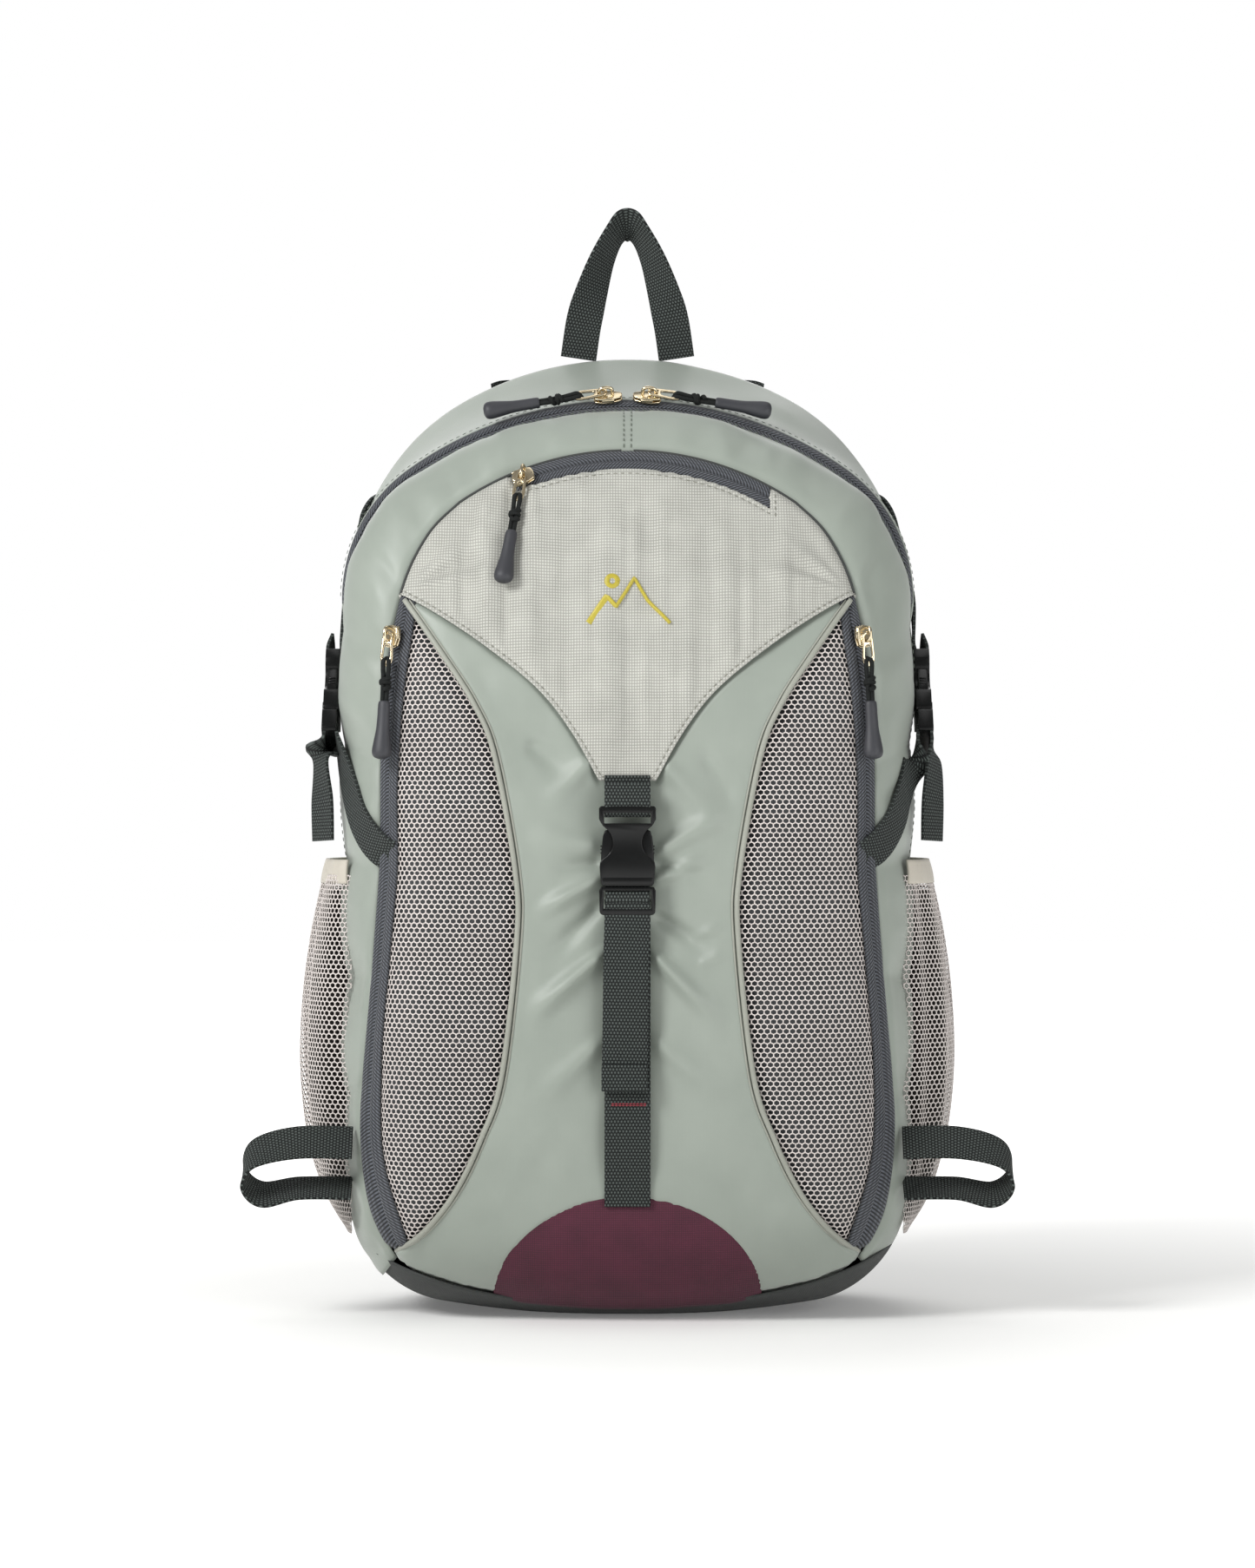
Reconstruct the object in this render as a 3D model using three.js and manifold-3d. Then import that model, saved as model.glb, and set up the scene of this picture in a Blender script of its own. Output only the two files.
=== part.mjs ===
// Hiking daypack: a stuffed clamshell bag body cut from one thin shell, a zipped top lid, webbing with side-release
// buckles, mesh pockets, carrying harness and zip pulls. Millimetres, +Z up, front of the bag towards -Y.
import * as THREE from 'three';
import { mergeVertices } from 'three/addons/utils/BufferGeometryUtils.js';
import Module from 'manifold-3d';

const wasm = await Module();
wasm.setup();

// ---- Driving dimensions ----
const shellThickness = 3; // fabric, lining and their padding together
const clothThickness = 1.4; // outer layer of the front, over the lining
const seamGap = 0.4; // between panels that are sewn edge to edge
const restGap = 0.8; // between the body and what lies on it

const zipPlaneY = 5; // the main zip runs round the bag in this plane
const backPlaneY = 88; // rear edge of the side walls
const centreHeight = 225; // centre that the cross-sections shrink towards
const zipArchTop = 490;
const zipArchRadius = 205; // top arc of the main zip
const zipArchHalfAngle = THREE.MathUtils.degToRad(35);
const zipShoulderRadius = 83;
const backArchTop = 525.5;
const backArchRadius = 185;
const backArchHalfAngle = THREE.MathUtils.degToRad(30);
const backShoulderRadius = 119;
const waistHalfWidth = 150; // half width of the body low down
const baseArcRadius = 625; // shallow curve of the base, seen from the front
const baseArcDip = 2.5; // how far that curve would pass below the floor; it is trimmed flat
const baseCornerRadius = 59;
const bulgeDepth = 97; // front of the bag, ahead of the zip plane, at its fullest
const bulgeHeight = 130;
const zipHalfWidth = 5.5; // main zip tape, to either side of its plane

const webbingWide = 25;
const webbingNarrow = 20;
const webbingThickness = 1.6;

const backPanelThickness = 12;
const backPanelInset = 6;

const ringPoints = 44;

// ---- Solids ----
// A closed geometry as a manifold solid, turned right side out.
function solid(geometry) {
  const bare = geometry.index ? geometry.toNonIndexed() : geometry.clone();
  const merged = mergeVertices(
    new THREE.BufferGeometry().setAttribute('position', bare.getAttribute('position')), 1e-3);
  const triVerts = new Uint32Array(merged.index.array);
  const vertProperties = merged.attributes.position.array;
  const made = new wasm.Manifold(new wasm.Mesh({ numProp: 3, vertProperties, triVerts }));
  if (made.volume() >= 0) return made;
  for (let i = 0; i < triVerts.length; i += 3) {
    [triVerts[i + 1], triVerts[i + 2]] = [triVerts[i + 2], triVerts[i + 1]];
  }
  return new wasm.Manifold(new wasm.Mesh({ numProp: 3, vertProperties, triVerts }));
}

// A solid mirrored from left to right.
function flipped(made) {
  return solid(toGeometry(made).scale(-1, 1, 1));
}

// The largest body of a solid as a geometry.
function toGeometry(made) {
  const whole = made.decompose().sort((a, b) => b.volume() - a.volume())[0];
  const { vertProperties, triVerts, numProp } = whole.getMesh();
  const points = new Float32Array((vertProperties.length / numProp) * 3);
  for (let i = 0; i < points.length / 3; i++) {
    points.set(vertProperties.subarray(i * numProp, i * numProp + 3), i * 3);
  }
  const geometry = new THREE.BufferGeometry();
  geometry.setAttribute('position', new THREE.BufferAttribute(points, 3));
  geometry.setIndex(new THREE.BufferAttribute(triVerts, 1));
  return geometry;
}

// A closed skin over rings of equal length, with a fan at each end.
function loft(rings) {
  const count = rings[0].length;
  const ends = [rings[0], rings[rings.length - 1]].map((ring) =>
    ring.reduce((sum, p) => sum.add(p), new THREE.Vector3()).divideScalar(count));
  const points = [...rings.flat(), ...ends];
  const index = [];
  for (let r = 0; r + 1 < rings.length; r++) {
    for (let i = 0; i < count; i++) {
      const a = r * count + i;
      const b = r * count + ((i + 1) % count);
      index.push(a, b, a + count, b, b + count, a + count);
    }
  }
  const last = (rings.length - 1) * count;
  for (let i = 0; i < count; i++) {
    const next = (i + 1) % count;
    index.push(next, i, points.length - 2);
    index.push(last + i, last + next, points.length - 1);
  }
  const geometry = new THREE.BufferGeometry().setFromPoints(points);
  geometry.setIndex(index);
  return geometry;
}

// An outline without the repeats that joined arcs leave.
function distinct(outline) {
  return outline.filter((p, i) => p.distanceTo(outline[(i + outline.length - 1) % outline.length]) > 0.02);
}

// An outline in the X-Z plane, carried from one depth to another.
function prism(outline, yFrom, yTo) {
  const shape = new THREE.Shape(distinct(outline));
  const geometry = new THREE.ExtrudeGeometry(shape, { depth: yTo - yFrom, bevelEnabled: false });
  return solid(geometry.rotateX(Math.PI / 2).translate(0, yTo, 0));
}

function block(x0, x1, y0, y1, z0, z1) {
  const geometry = new THREE.BoxGeometry(x1 - x0, y1 - y0, z1 - z0);
  return solid(geometry.translate((x0 + x1) / 2, (y0 + y1) / 2, (z0 + z1) / 2));
}

// ---- Outlines, as points in the X-Z plane ----
const at = (x, z) => new THREE.Vector2(x, z);

function curveThrough(points, steps) {
  return new THREE.SplineCurve(points).getPoints(steps);
}

function mirrored(points) {
  return points.map((p) => at(-p.x, p.y)).reverse();
}

// An outline moved outwards by a distance, whichever way round it runs.
function grown(outline, distance) {
  const turn = THREE.ShapeUtils.isClockWise(outline) ? -1 : 1;
  const clean = distinct(outline);
  const count = clean.length;
  return clean.map((p, i) => {
    const before = clean[(i + count - 1) % count];
    const after = clean[(i + 1) % count];
    const along = after.clone().sub(before).normalize();
    return at(p.x + along.y * distance * turn, p.y - along.x * distance * turn);
  });
}

// An arch of one wide arc and two shoulders, straight sides, and a base with round corners, from base centre to crown.
function archSide(top, radius, halfAngle, shoulder, low) {
  const path = new THREE.Path();
  const floor = -baseArcDip;
  const baseReach = Math.asin((low - baseCornerRadius) / (baseArcRadius - baseCornerRadius));
  path.moveTo(0, floor);
  path.absarc(0, floor + baseArcRadius, baseArcRadius, -Math.PI / 2, -Math.PI / 2 + baseReach, false);
  const corner = at(low - baseCornerRadius, floor + baseArcRadius
    - (baseArcRadius - baseCornerRadius) * Math.cos(baseReach));
  path.absarc(corner.x, corner.y, baseCornerRadius, -Math.PI / 2 + baseReach, 0, false);
  const crown = top - radius;
  const hub = at((radius - shoulder) * Math.sin(halfAngle), crown + (radius - shoulder) * Math.cos(halfAngle));
  path.absarc(hub.x, hub.y, shoulder, 0, Math.PI / 2 - halfAngle, false);
  path.absarc(0, crown, radius, Math.PI / 2 - halfAngle, Math.PI / 2, false);
  return path.getPoints(7);
}

// How far the outline lies from the centre in one direction.
function reach(side, angle) {
  const dx = Math.abs(Math.cos(angle));
  const dz = Math.sin(angle);
  for (let i = 0; i + 1 < side.length; i++) {
    const a = side[i];
    const b = side[i + 1];
    const ax = a.x * dz - (a.y - centreHeight) * dx;
    const bx = b.x * dz - (b.y - centreHeight) * dx;
    if ((ax <= 0) !== (bx <= 0) || ax === 0) {
      const t = ax / (ax - bx);
      return Math.hypot(a.x + (b.x - a.x) * t, a.y + (b.y - a.y) * t - centreHeight);
    }
  }
  const end = side[dz > 0 ? side.length - 1 : 0];
  return Math.abs(end.y - centreHeight);
}

const zipSide = archSide(zipArchTop, zipArchRadius, zipArchHalfAngle, zipShoulderRadius, waistHalfWidth);
const backSide = archSide(backArchTop, backArchRadius, backArchHalfAngle, backShoulderRadius, waistHalfWidth - 4);
const zipEndZ = zipArchTop - zipArchRadius + (zipArchRadius - zipShoulderRadius) * Math.cos(zipArchHalfAngle);
const foldZ = zipEndZ; // the lid folds forward along this height

// ---- Bag body ----
function depthAt(z) {
  return z < bulgeHeight
    ? bulgeDepth - 8 * ((bulgeHeight - z) / bulgeHeight) ** 2
    : bulgeDepth - 45 * ((z - bulgeHeight) / (zipArchTop - bulgeHeight)) ** 2.2;
}

function fullness(share, angle) {
  const power = 5 + 5 * Math.max(0, -Math.sin(angle)) ** 2;
  return Math.sqrt(Math.max(0, 1 - share ** power));
}

// A point on the front half, at a share of the way from the centre to the zip plane's outline.
function frontAt(angle, share, inset) {
  const r = share * (reach(zipSide, angle) - inset);
  const z = centreHeight + r * Math.sin(angle);
  return new THREE.Vector3(r * Math.cos(angle),
    zipPlaneY - (depthAt(z) - inset) * fullness(share, angle), z);
}

function rearAt(angle, share, inset) {
  const edge = share > 0.99 ? 5 : 0;
  const swell = 3 * Math.sin(Math.PI * share) * Math.abs(Math.cos(angle));
  const near = reach(zipSide, angle);
  const r = near + (reach(backSide, angle) - near) * share ** 1.2 + swell - edge - inset;
  const y = zipPlaneY + (backPlaneY - inset - zipPlaneY) * share;
  return new THREE.Vector3(r * Math.cos(angle), y, centreHeight + r * Math.sin(angle));
}

const frontShares = [0.3, 0.55, 0.7, 0.81, 0.89, 0.94, 0.98];
const rearShares = [0, 0.3, 0.65, 0.92, 1];

function bodySolid(inset) {
  const angles = Array.from({ length: ringPoints }, (_, i) => ((i + 0.5) / ringPoints) * 2 * Math.PI);
  const rings = [
    ...frontShares.map((share) => angles.map((angle) => frontAt(angle, share, inset))),
    ...rearShares.map((share) => angles.map((angle) => rearAt(angle, share, inset))),
  ];
  const above = block(-400, 400, -400, 400, inset, 800);
  return solid(loft(rings)).intersect(above);
}

// The outer face of the front over any point of the front view, and its outward normal.
function onFront(x, z, lift = 0) {
  const height = (px, pz) => {
    const angle = Math.atan2(pz - centreHeight, px);
    const share = Math.hypot(px, pz - centreHeight) / reach(zipSide, angle);
    return zipPlaneY - depthAt(pz) * fullness(share, angle);
  };
  const step = 0.5;
  const slopeX = (height(x + step, z) - height(x - step, z)) / (2 * step);
  const slopeZ = (height(x, z + step) - height(x, z - step)) / (2 * step);
  const normal = new THREE.Vector3(slopeX, -1, slopeZ).normalize();
  return { point: new THREE.Vector3(x, height(x, z), z).addScaledVector(normal, lift), normal };
}

// ---- Seam lines of the front ----
const frontArchTop = 463.5;
const frontArchRadius = 157;
const frontArchHalfAngle = THREE.MathUtils.degToRad(35);
const frontArchCentre = frontArchTop - frontArchRadius;
const frontSideLine = [at(107, 417), at(121, 384.5), at(131, 325), at(132, 245), at(138, 165), at(143, 105),
  at(138, 60), at(124, 31)];
const yokeEdge = [at(-122, 386), at(-102, 375), at(-75, 357), at(-47, 334), at(-29, 311), at(-15, 286)];
const pipingLine = [at(-118, 382), at(-97, 352), at(-81, 327), at(-70, 300), at(-59, 240), at(-58, 203),
  at(-66, 131), at(-77, 98), at(-90, 71), at(-106, 50), at(-124, 35)];
const meshOuterLine = [at(-113, 374), at(-119, 332), at(-122, 286), at(-122, 240), at(-126, 194), at(-130, 148),
  at(-131, 107), at(-128, 80), at(-117, 43)];
const accentHalfWidth = 72;
const accentHeight = 60;
const basePanelCentreZ = 8;

// Upper edge of the base panel.
function baseEdge(x) {
  return basePanelCentreZ + 22 * (Math.abs(x) / 124) ** 2.4;
}

function baseEdgePoints(from, to, steps) {
  return Array.from({ length: steps + 1 }, (_, i) => {
    const x = from + ((to - from) * i) / steps;
    return at(x, baseEdge(x));
  });
}

function frontArch(from, to, radius, steps) {
  return Array.from({ length: steps + 1 }, (_, i) => {
    const angle = from + ((to - from) * i) / steps;
    return at(radius * Math.sin(angle), frontArchCentre + radius * Math.cos(angle));
  });
}

const frontArchHalf = frontArch(0, frontArchHalfAngle, frontArchRadius, 8);
const frontSeamRight = [...frontArchHalf, ...curveThrough([frontArchHalf[8], ...frontSideLine], 15).slice(1)];
const frontSeam = [...frontSeamRight, ...baseEdgePoints(118, -118, 10), ...mirrored(frontSeamRight).slice(0, -1)];
const yokeLeft = curveThrough(yokeEdge, 10);
const yoke = [at(-200, 386), ...yokeLeft, ...mirrored(yokeLeft), at(200, 386), at(200, 600), at(-200, 600)];
const pipingLeft = curveThrough(pipingLine, 16);
const hourglass = [at(-112, 390), ...pipingLeft, at(-124, -20), at(124, -20), ...mirrored(pipingLeft), at(112, 390)];
const meshLeft = [at(-104, 400), ...curveThrough(meshOuterLine, 14), at(-110, 15), at(-10, 15), at(-10, 400)];
const accent = [
  ...Array.from({ length: 17 }, (_, i) => at(accentHalfWidth * Math.cos((i / 16) * Math.PI),
    basePanelCentreZ + accentHeight * Math.sin((i / 16) * Math.PI))),
  at(-accentHalfWidth, -20), at(accentHalfWidth, -20)];
const basePanelOutline = [...baseEdgePoints(-190, 190, 20), at(190, -50), at(-190, -50)];
const backOutline = [...backSide, ...mirrored(backSide).slice(1, -1)];

// ---- Panels ----
const bag = new THREE.Group();
const cloth = (name, color, roughness = 0.85) => new THREE.MeshStandardMaterial({ name, color, roughness });
const materials = {
  sage: cloth('sage_nylon', 0xaeb6ab, 0.6),
  grey: cloth('grey_ripstop', 0xbdbdb4),
  burgundy: cloth('burgundy_nylon', 0x502534),
  charcoal: cloth('charcoal_nylon', 0x363837),
  mesh: cloth('taupe_mesh', 0xaaa3a1),
  tape: cloth('zip_tape', 0x44464a),
  webbing: cloth('webbing', 0x3b3e3c),
  lining: cloth('lining', 0x2f3133),
  foam: cloth('air_mesh', 0x303234),
  plastic: cloth('acetal', 0x1f1f1e, 0.4),
  rubber: cloth('rubber', 0x36363a, 0.6),
  sheet: cloth('frame_sheet_board', 0x202022, 0.5),
  metal: new THREE.MeshStandardMaterial({ name: 'nickel', color: 0xc9bfa5, roughness: 0.3, metalness: 1 }),
};

function place(name, made, material, parent = bag) {
  const geometry = made.isBufferGeometry ? made : toGeometry(made);
  const mesh = new THREE.Mesh(geometry, material);
  mesh.name = name;
  parent.add(mesh);
  return mesh;
}

const outer = bodySolid(0);
const underCloth = bodySolid(clothThickness);
const overLining = bodySolid(clothThickness + seamGap);
const inner = bodySolid(shellThickness);
const shell = outer.subtract(inner);
const frontCloth = outer.subtract(underCloth);
const lining = overLining.subtract(inner);

const frontReach = [-300, zipPlaneY - 8];
const frontSolid = prism(frontSeam, ...frontReach);
const beyondFront = prism(grown(frontSeam, seamGap), ...frontReach);
const aboveFold = block(-300, 300, -300, 300, foldZ + seamGap, 700);
const belowFold = block(-300, 300, -300, 300, -10, foldZ - seamGap);
const baseCut = prism(basePanelOutline, -300, 300);
const aboveBase = prism(grown(basePanelOutline, seamGap), -300, 300);
const backEdge = grown(backOutline, -backPanelInset);
const backCut = prism(grown(backEdge, seamGap), backPlaneY - 8, backPlaneY + 50);

const clothFront = frontCloth.intersect(frontSolid);
const lowFront = clothFront.intersect(belowFold).subtract(aboveBase);
const yokeCut = prism(yoke, ...frontReach);
const yokeBeyond = prism(grown(yoke, seamGap), ...frontReach);
const hourglassCut = prism(hourglass, ...frontReach);
const hourglassBeyond = prism(grown(hourglass, seamGap), ...frontReach);
const accentCut = prism(accent, ...frontReach);
const accentBeyond = prism(grown(accent, seamGap), ...frontReach);
const underYoke = lowFront.subtract(yokeBeyond);

function lowerFront() {
  place('yoke_lower', lowFront.intersect(yokeCut), materials.grey);
  place('front_panel', underYoke.intersect(hourglassCut).subtract(accentBeyond), materials.sage);
  place('base_accent', underYoke.intersect(accentCut), materials.burgundy);
  place('front_lining', lining.intersect(frontSolid).intersect(belowFold).subtract(aboveBase), materials.lining);
  for (const [name, mirror] of [['left', 1], ['right', -1]]) {
    const outline = mirror > 0 ? meshLeft : mirrored(meshLeft);
    const meshCut = prism(outline, ...frontReach);
    const meshBeyond = prism(grown(outline, seamGap), ...frontReach);
    const side = mirror > 0 ? block(-300, 0, -300, 300, -10, 700) : block(0, 300, -300, 300, -10, 700);
    const zone = underYoke.subtract(hourglassBeyond).intersect(side);
    place(`mesh_panel_${name}`, zone.intersect(meshCut), materials.mesh);
    place(`mesh_zip_tape_${name}`, zone.subtract(meshBeyond), materials.tape);
  }
}

const walls = shell.subtract(beyondFront).subtract(aboveBase).subtract(backCut);

// The walls above the fold, from one depth to another.
function highWall(from, to) {
  return walls.intersect(aboveFold).intersect(block(-300, 300, from, to, 0, 700));
}

function shellWalls() {
  const low = walls.intersect(belowFold);
  place('side_panel_left', low.intersect(block(-300, -20, -300, 300, -10, 700)), materials.sage);
  place('side_panel_right', low.intersect(block(20, 300, -300, 300, -10, 700)), materials.sage);
  place('base_panel', shell.intersect(baseCut).subtract(backCut), materials.charcoal);
  place('rear_gusset', highWall(zipPlaneY + zipHalfWidth, 300), materials.sage);
  place('main_zip_tape_rear', highWall(zipPlaneY + seamGap, zipPlaneY + zipHalfWidth - seamGap), materials.tape);
}
lowerFront();
shellWalls();

// ---- Lid: all that swings forward when the main zip is open ----
const lid = new THREE.Group();
bag.add(lid);
const pocketZipWidth = 11.5;
const pocketZipFrom = THREE.MathUtils.degToRad(-23.5);
const pocketZipTo = THREE.MathUtils.degToRad(30);

// A band under the front arch, with a margin all round.
function archBand(margin) {
  const ends = margin / frontArchRadius;
  const low = frontArchRadius - pocketZipWidth - margin;
  return [
    ...frontArch(pocketZipFrom - ends, pocketZipTo + ends, frontArchRadius + 5, 16),
    ...frontArch(pocketZipTo + ends, pocketZipFrom - ends, low, 16)];
}

function lidPanels() {
  place('front_gusset', highWall(-300, zipPlaneY - zipHalfWidth), materials.sage, lid);
  place('main_zip_tape_front', highWall(zipPlaneY - zipHalfWidth + seamGap, zipPlaneY - seamGap),
    materials.tape, lid);
  const highFront = shell.intersect(frontSolid).intersect(aboveFold);
  place('pocket_zip_tape', highFront.intersect(prism(archBand(0), ...frontReach)), materials.tape, lid);
  place('yoke_upper', highFront.subtract(prism(archBand(seamGap), ...frontReach)), materials.grey, lid);
}
lidPanels();

// ---- Back wall and what is behind the lining ----
function backWall() {
  const back = prism(backEdge, backPlaneY - shellThickness, backPlaneY - shellThickness + backPanelThickness);
  place('back_panel', back.intersect(block(-300, 300, -300, 300, 4, 700)), materials.foam);
  const sheetOutline = grown(backOutline, -22);
  const sheetY = backPlaneY - shellThickness - seamGap;
  place('frame_sheet', prism(sheetOutline, sheetY - 2.5, sheetY), materials.sheet);
  const sleeve = new THREE.Path();
  sleeve.moveTo(-105, 40).lineTo(105, 40).lineTo(105, 300).quadraticCurveTo(0, 285, -105, 300);
  place('hydration_sleeve', prism(sleeve.getPoints(8), sheetY - 9, sheetY - 7), materials.lining);
}
backWall();

// ---- Webbing ----
// A flat strip along stations of [x, y, z, wx, wy, wz]: a point on its centreline and the way its width runs.
function strip(stations, width, thickness, steps) {
  const points = new THREE.CatmullRomCurve3(stations.map((s) => new THREE.Vector3(s[0], s[1], s[2])));
  const wides = new THREE.CatmullRomCurve3(stations.map((s) => new THREE.Vector3(s[3], s[4], s[5])));
  const rings = [];
  for (let i = 0; i <= steps; i++) {
    const t = i / steps;
    const p = points.getPoint(t);
    const along = points.getTangent(t);
    const wide = wides.getPoint(t);
    wide.addScaledVector(along, -wide.dot(along)).normalize().multiplyScalar(width / 2);
    const thick = new THREE.Vector3().crossVectors(along, wide).normalize().multiplyScalar(thickness / 2);
    rings.push([[1, 1], [-1, 1], [-1, -1], [1, -1]].map(([a, b]) =>
      p.clone().addScaledVector(wide, a).addScaledVector(thick, b)));
  }
  return loft(rings);
}

function mirrorStations(stations) {
  return stations.map(([x, y, z, wx, wy, wz]) => [-x, y, z, -wx, wy, wz]);
}

// Stations down the middle of the front, standing off the cloth.
function downFront(zFrom, zTo, lift, count) {
  return Array.from({ length: count }, (_, i) => {
    const z = zFrom + ((zTo - zFrom) * i) / (count - 1);
    return [0, onFront(0, z, lift).point.y, z, 1, 0, 0];
  });
}

// ---- Haul loop ----
const haulBase = { y: backPlaneY - 1, z: 523 };
function haulLoop() {
  const { y, z } = haulBase;
  const half = [
    [-27.5, y, z, 1, 0, 0.12], [-24.5, y, z + 20, 1, 0.1, 0.2], [-20.5, y, z + 36, 0.85, 0.45, 0.2],
    [-14, y + 1, z + 56, 0.6, 0.75, -0.1], [-6.5, y + 3, z + 71, 0.2, 0.75, -0.6],
    [0, y + 4, z + 75.5, 0, 0.5, -0.85]];
  const back = half.slice(0, -1).reverse().map(([x, py, pz, wx, wy, wz]) => [-x, py, pz, -wx, wy, wz]);
  // The strip turns half over at the crown, so the second leg's width runs the other way.
  const stations = [...half, ...back];
  place('haul_loop', strip(stations, webbingNarrow, webbingThickness, 28), materials.webbing);
}
haulLoop();

// ---- Buckles ----
// Made along +Z with the strap, seen from -Y, with their backs at y = 0.
const buckle = {
  forWebbing: 25, depth: 9, socketHeight: 42, frameHeight: 12.2, wall: 1.6,
  barBack: 3, barFront: 6.2, barHeight: 3.4, lever: 6,
};
const bendRadius = (buckle.barFront - buckle.barBack) / 2 + 0.8 + webbingThickness / 2;
const bendY = -(buckle.barBack + buckle.barFront) / 2;
const socketTop = buckle.socketHeight / 2;
const socketLow = -buckle.socketHeight / 2;
const frameTop = socketLow - 0.5;
const frameLow = frameTop - buckle.frameHeight;

function socket(scale) {
  const half = [at(12.6, socketLow), at(14, socketLow + 4), at(14.2, -9), at(12.4, -4), at(12.4, 4), at(14.8, 9),
    at(15, socketTop - 3), at(14, socketTop)].map((p) => at(p.x * scale, p.y));
  const outline = [...half, ...mirrored(half)];
  const slot = block(-12.6 * scale, 12.6 * scale, -20, 20, socketTop - buckle.barHeight - 6,
    socketTop - buckle.barHeight);
  const { wall, depth, barBack, barFront } = buckle;
  const inside = block(-11 * scale, 11 * scale, -depth + wall, -wall, socketLow - 1, 8);
  const windows = block(-20, 20, -depth + wall + 0.4, -wall - 0.4, -8, 6);
  const frontTrim = block(-20, 20, -20, -barFront, socketTop - buckle.barHeight - 7, socketTop + 1);
  const backTrim = block(-20, 20, -barBack, 20, socketTop - buckle.barHeight - 7, socketTop + 1);
  return prism(outline, -depth, 0).subtract(inside).subtract(windows).subtract(slot)
    .subtract(frontTrim).subtract(backTrim);
}

function frame(scale) {
  const { depth, wall, barBack, barFront, barHeight } = buckle;
  const half = [at(12.4, frameLow), at(14.6, frameLow + 3), at(14.6, frameTop - 2), at(13.4, frameTop)]
    .map((p) => at(p.x * scale, p.y));
  const slot = block(-12.4 * scale, 12.4 * scale, -20, 20, frameLow + barHeight, frameLow + barHeight + 6);
  const plate = prism([...half, ...mirrored(half)], -depth + 1, -1);
  const lowTrim = block(-20, 20, -20, -barFront, frameLow - 1, frameLow + barHeight + 6);
  const lowBack = block(-20, 20, -barBack, 20, frameLow - 1, frameLow + barHeight + 6);
  const tongue = block(-2.5 * scale, 2.5 * scale, -depth + wall + 0.5, -wall - 0.5, frameTop - 1, 4);
  return plate.subtract(slot).subtract(lowTrim).subtract(lowBack).add(tongue);
}

// One sprung arm, to the right of the tongue, with its press pad in the socket's window.
function lever(scale) {
  const { depth, wall, lever: armWidth } = buckle;
  const armOutline = [at(armWidth * scale, frameTop + 0.5), at((armWidth + 2.2) * scale, frameTop + 0.5),
    at(10.3 * scale, -9), at(10.3 * scale, -7.5), at(13.8 * scale, -5), at(13.8 * scale, 3), at(10.3 * scale, 5),
    at(8 * scale, 5.8), at(7.2 * scale, 0), at(7 * scale, -9)];
  return prism(armOutline, -depth + wall + 0.6, -wall - 0.6);
}

// Stations of a strap that comes in behind a bar, turns round it and leaves in front; way is 1 to turn at the top.
function aroundBar(barZ, way, behind, ahead) {
  const turn = [0, 0.25, 0.5, 0.75, 1].map((t) => {
    const angle = -Math.PI / 2 + Math.PI * t;
    return [0, bendY - bendRadius * Math.sin(angle), barZ + way * bendRadius * Math.cos(angle) * 1.1, 1, 0, 0];
  });
  return [...behind, ...turn, ...ahead];
}

const frontBuckleZ = 252;
const frontBuckleY = onFront(0, frontBuckleZ, restGap).point.y;
const frontFrameBar = frameLow + buckle.barHeight / 2;
const frontSocketBar = socketTop - buckle.barHeight / 2;
const strapLift = restGap + webbingThickness / 2;

function toWorldFront([x, y, z, ...wide]) {
  return [x, y + frontBuckleY, z + frontBuckleZ, ...wide];
}

function frontStrap() {
  const put = (name, made, material) => place(name, made, material).position.set(0, frontBuckleY, frontBuckleZ);
  const scale = webbingWide / buckle.forWebbing;
  put('front_buckle_socket', socket(scale), materials.plastic);
  put('front_buckle_frame', frame(scale), materials.plastic);
  put('front_lever_right', lever(scale), materials.plastic);
  put('front_lever_left', flipped(lever(scale)), materials.plastic);
  const yokeTip = 288;
  const upper = aroundBar(frontSocketBar, -1,
    [[0, -strapLift + restGap, yokeTip + 14 - frontBuckleZ, 1, 0, 0], [0, -strapLift + restGap, 27, 1, 0, 0]],
    [[0, bendY - bendRadius, frontSocketBar + 6, 1, 0, 0], [0, bendY - 1, 33, 1, 0, 0]]);
  place('front_strap_upper', strip(upper.map(toWorldFront), webbingWide - 1, webbingThickness, 22),
    materials.webbing);
  const strapEndZ = 72;
  const tailEndZ = 124;
  const lower = aroundBar(frontFrameBar, 1, [],
    [[0, bendY - bendRadius, frontFrameBar - 6, 1, 0, 0]]).map(toWorldFront);
  const rising = downFront(strapEndZ, frontBuckleZ + frameLow - 5, strapLift, 7);
  const tail = downFront(frontBuckleZ + frameLow - 22, tailEndZ, strapLift + 3.4, 4);
  place('front_strap_lower', strip([...rising, ...lower, ...tail], webbingWide - 1, webbingThickness, 44),
    materials.webbing);
}
frontStrap();

// A point of the side wall ahead of the zip, for a right-hand side, and its outward normal.
function onSide(y, z, lift) {
  let near = 60;
  let far = waistHalfWidth + 20;
  for (let i = 0; i < 30; i++) {
    const x = (near + far) / 2;
    if (onFront(x, z).point.y < y) near = x;
    else far = x;
  }
  return onFront(near, z, lift);
}

// ---- Side compression straps ----
const sideStrapLean = THREE.MathUtils.degToRad(39);
const sideBuckleScale = webbingNarrow / buckle.forWebbing;
const sideBuckle = { y: 4, z: 335 };
const sideStrapStandOff = 1.1; // the wall swells this far behind the zip plane

// Half the width of the zip plane's outline at one height.
function halfWidthAt(z) {
  let low = 0;
  let high = Math.PI / 2;
  for (let i = 0; i < 30; i++) {
    const angle = (low + high) / 2;
    if (centreHeight + reach(zipSide, angle) * Math.sin(angle) < z) low = angle;
    else high = angle;
  }
  return reach(zipSide, low) * Math.cos(low);
}

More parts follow.
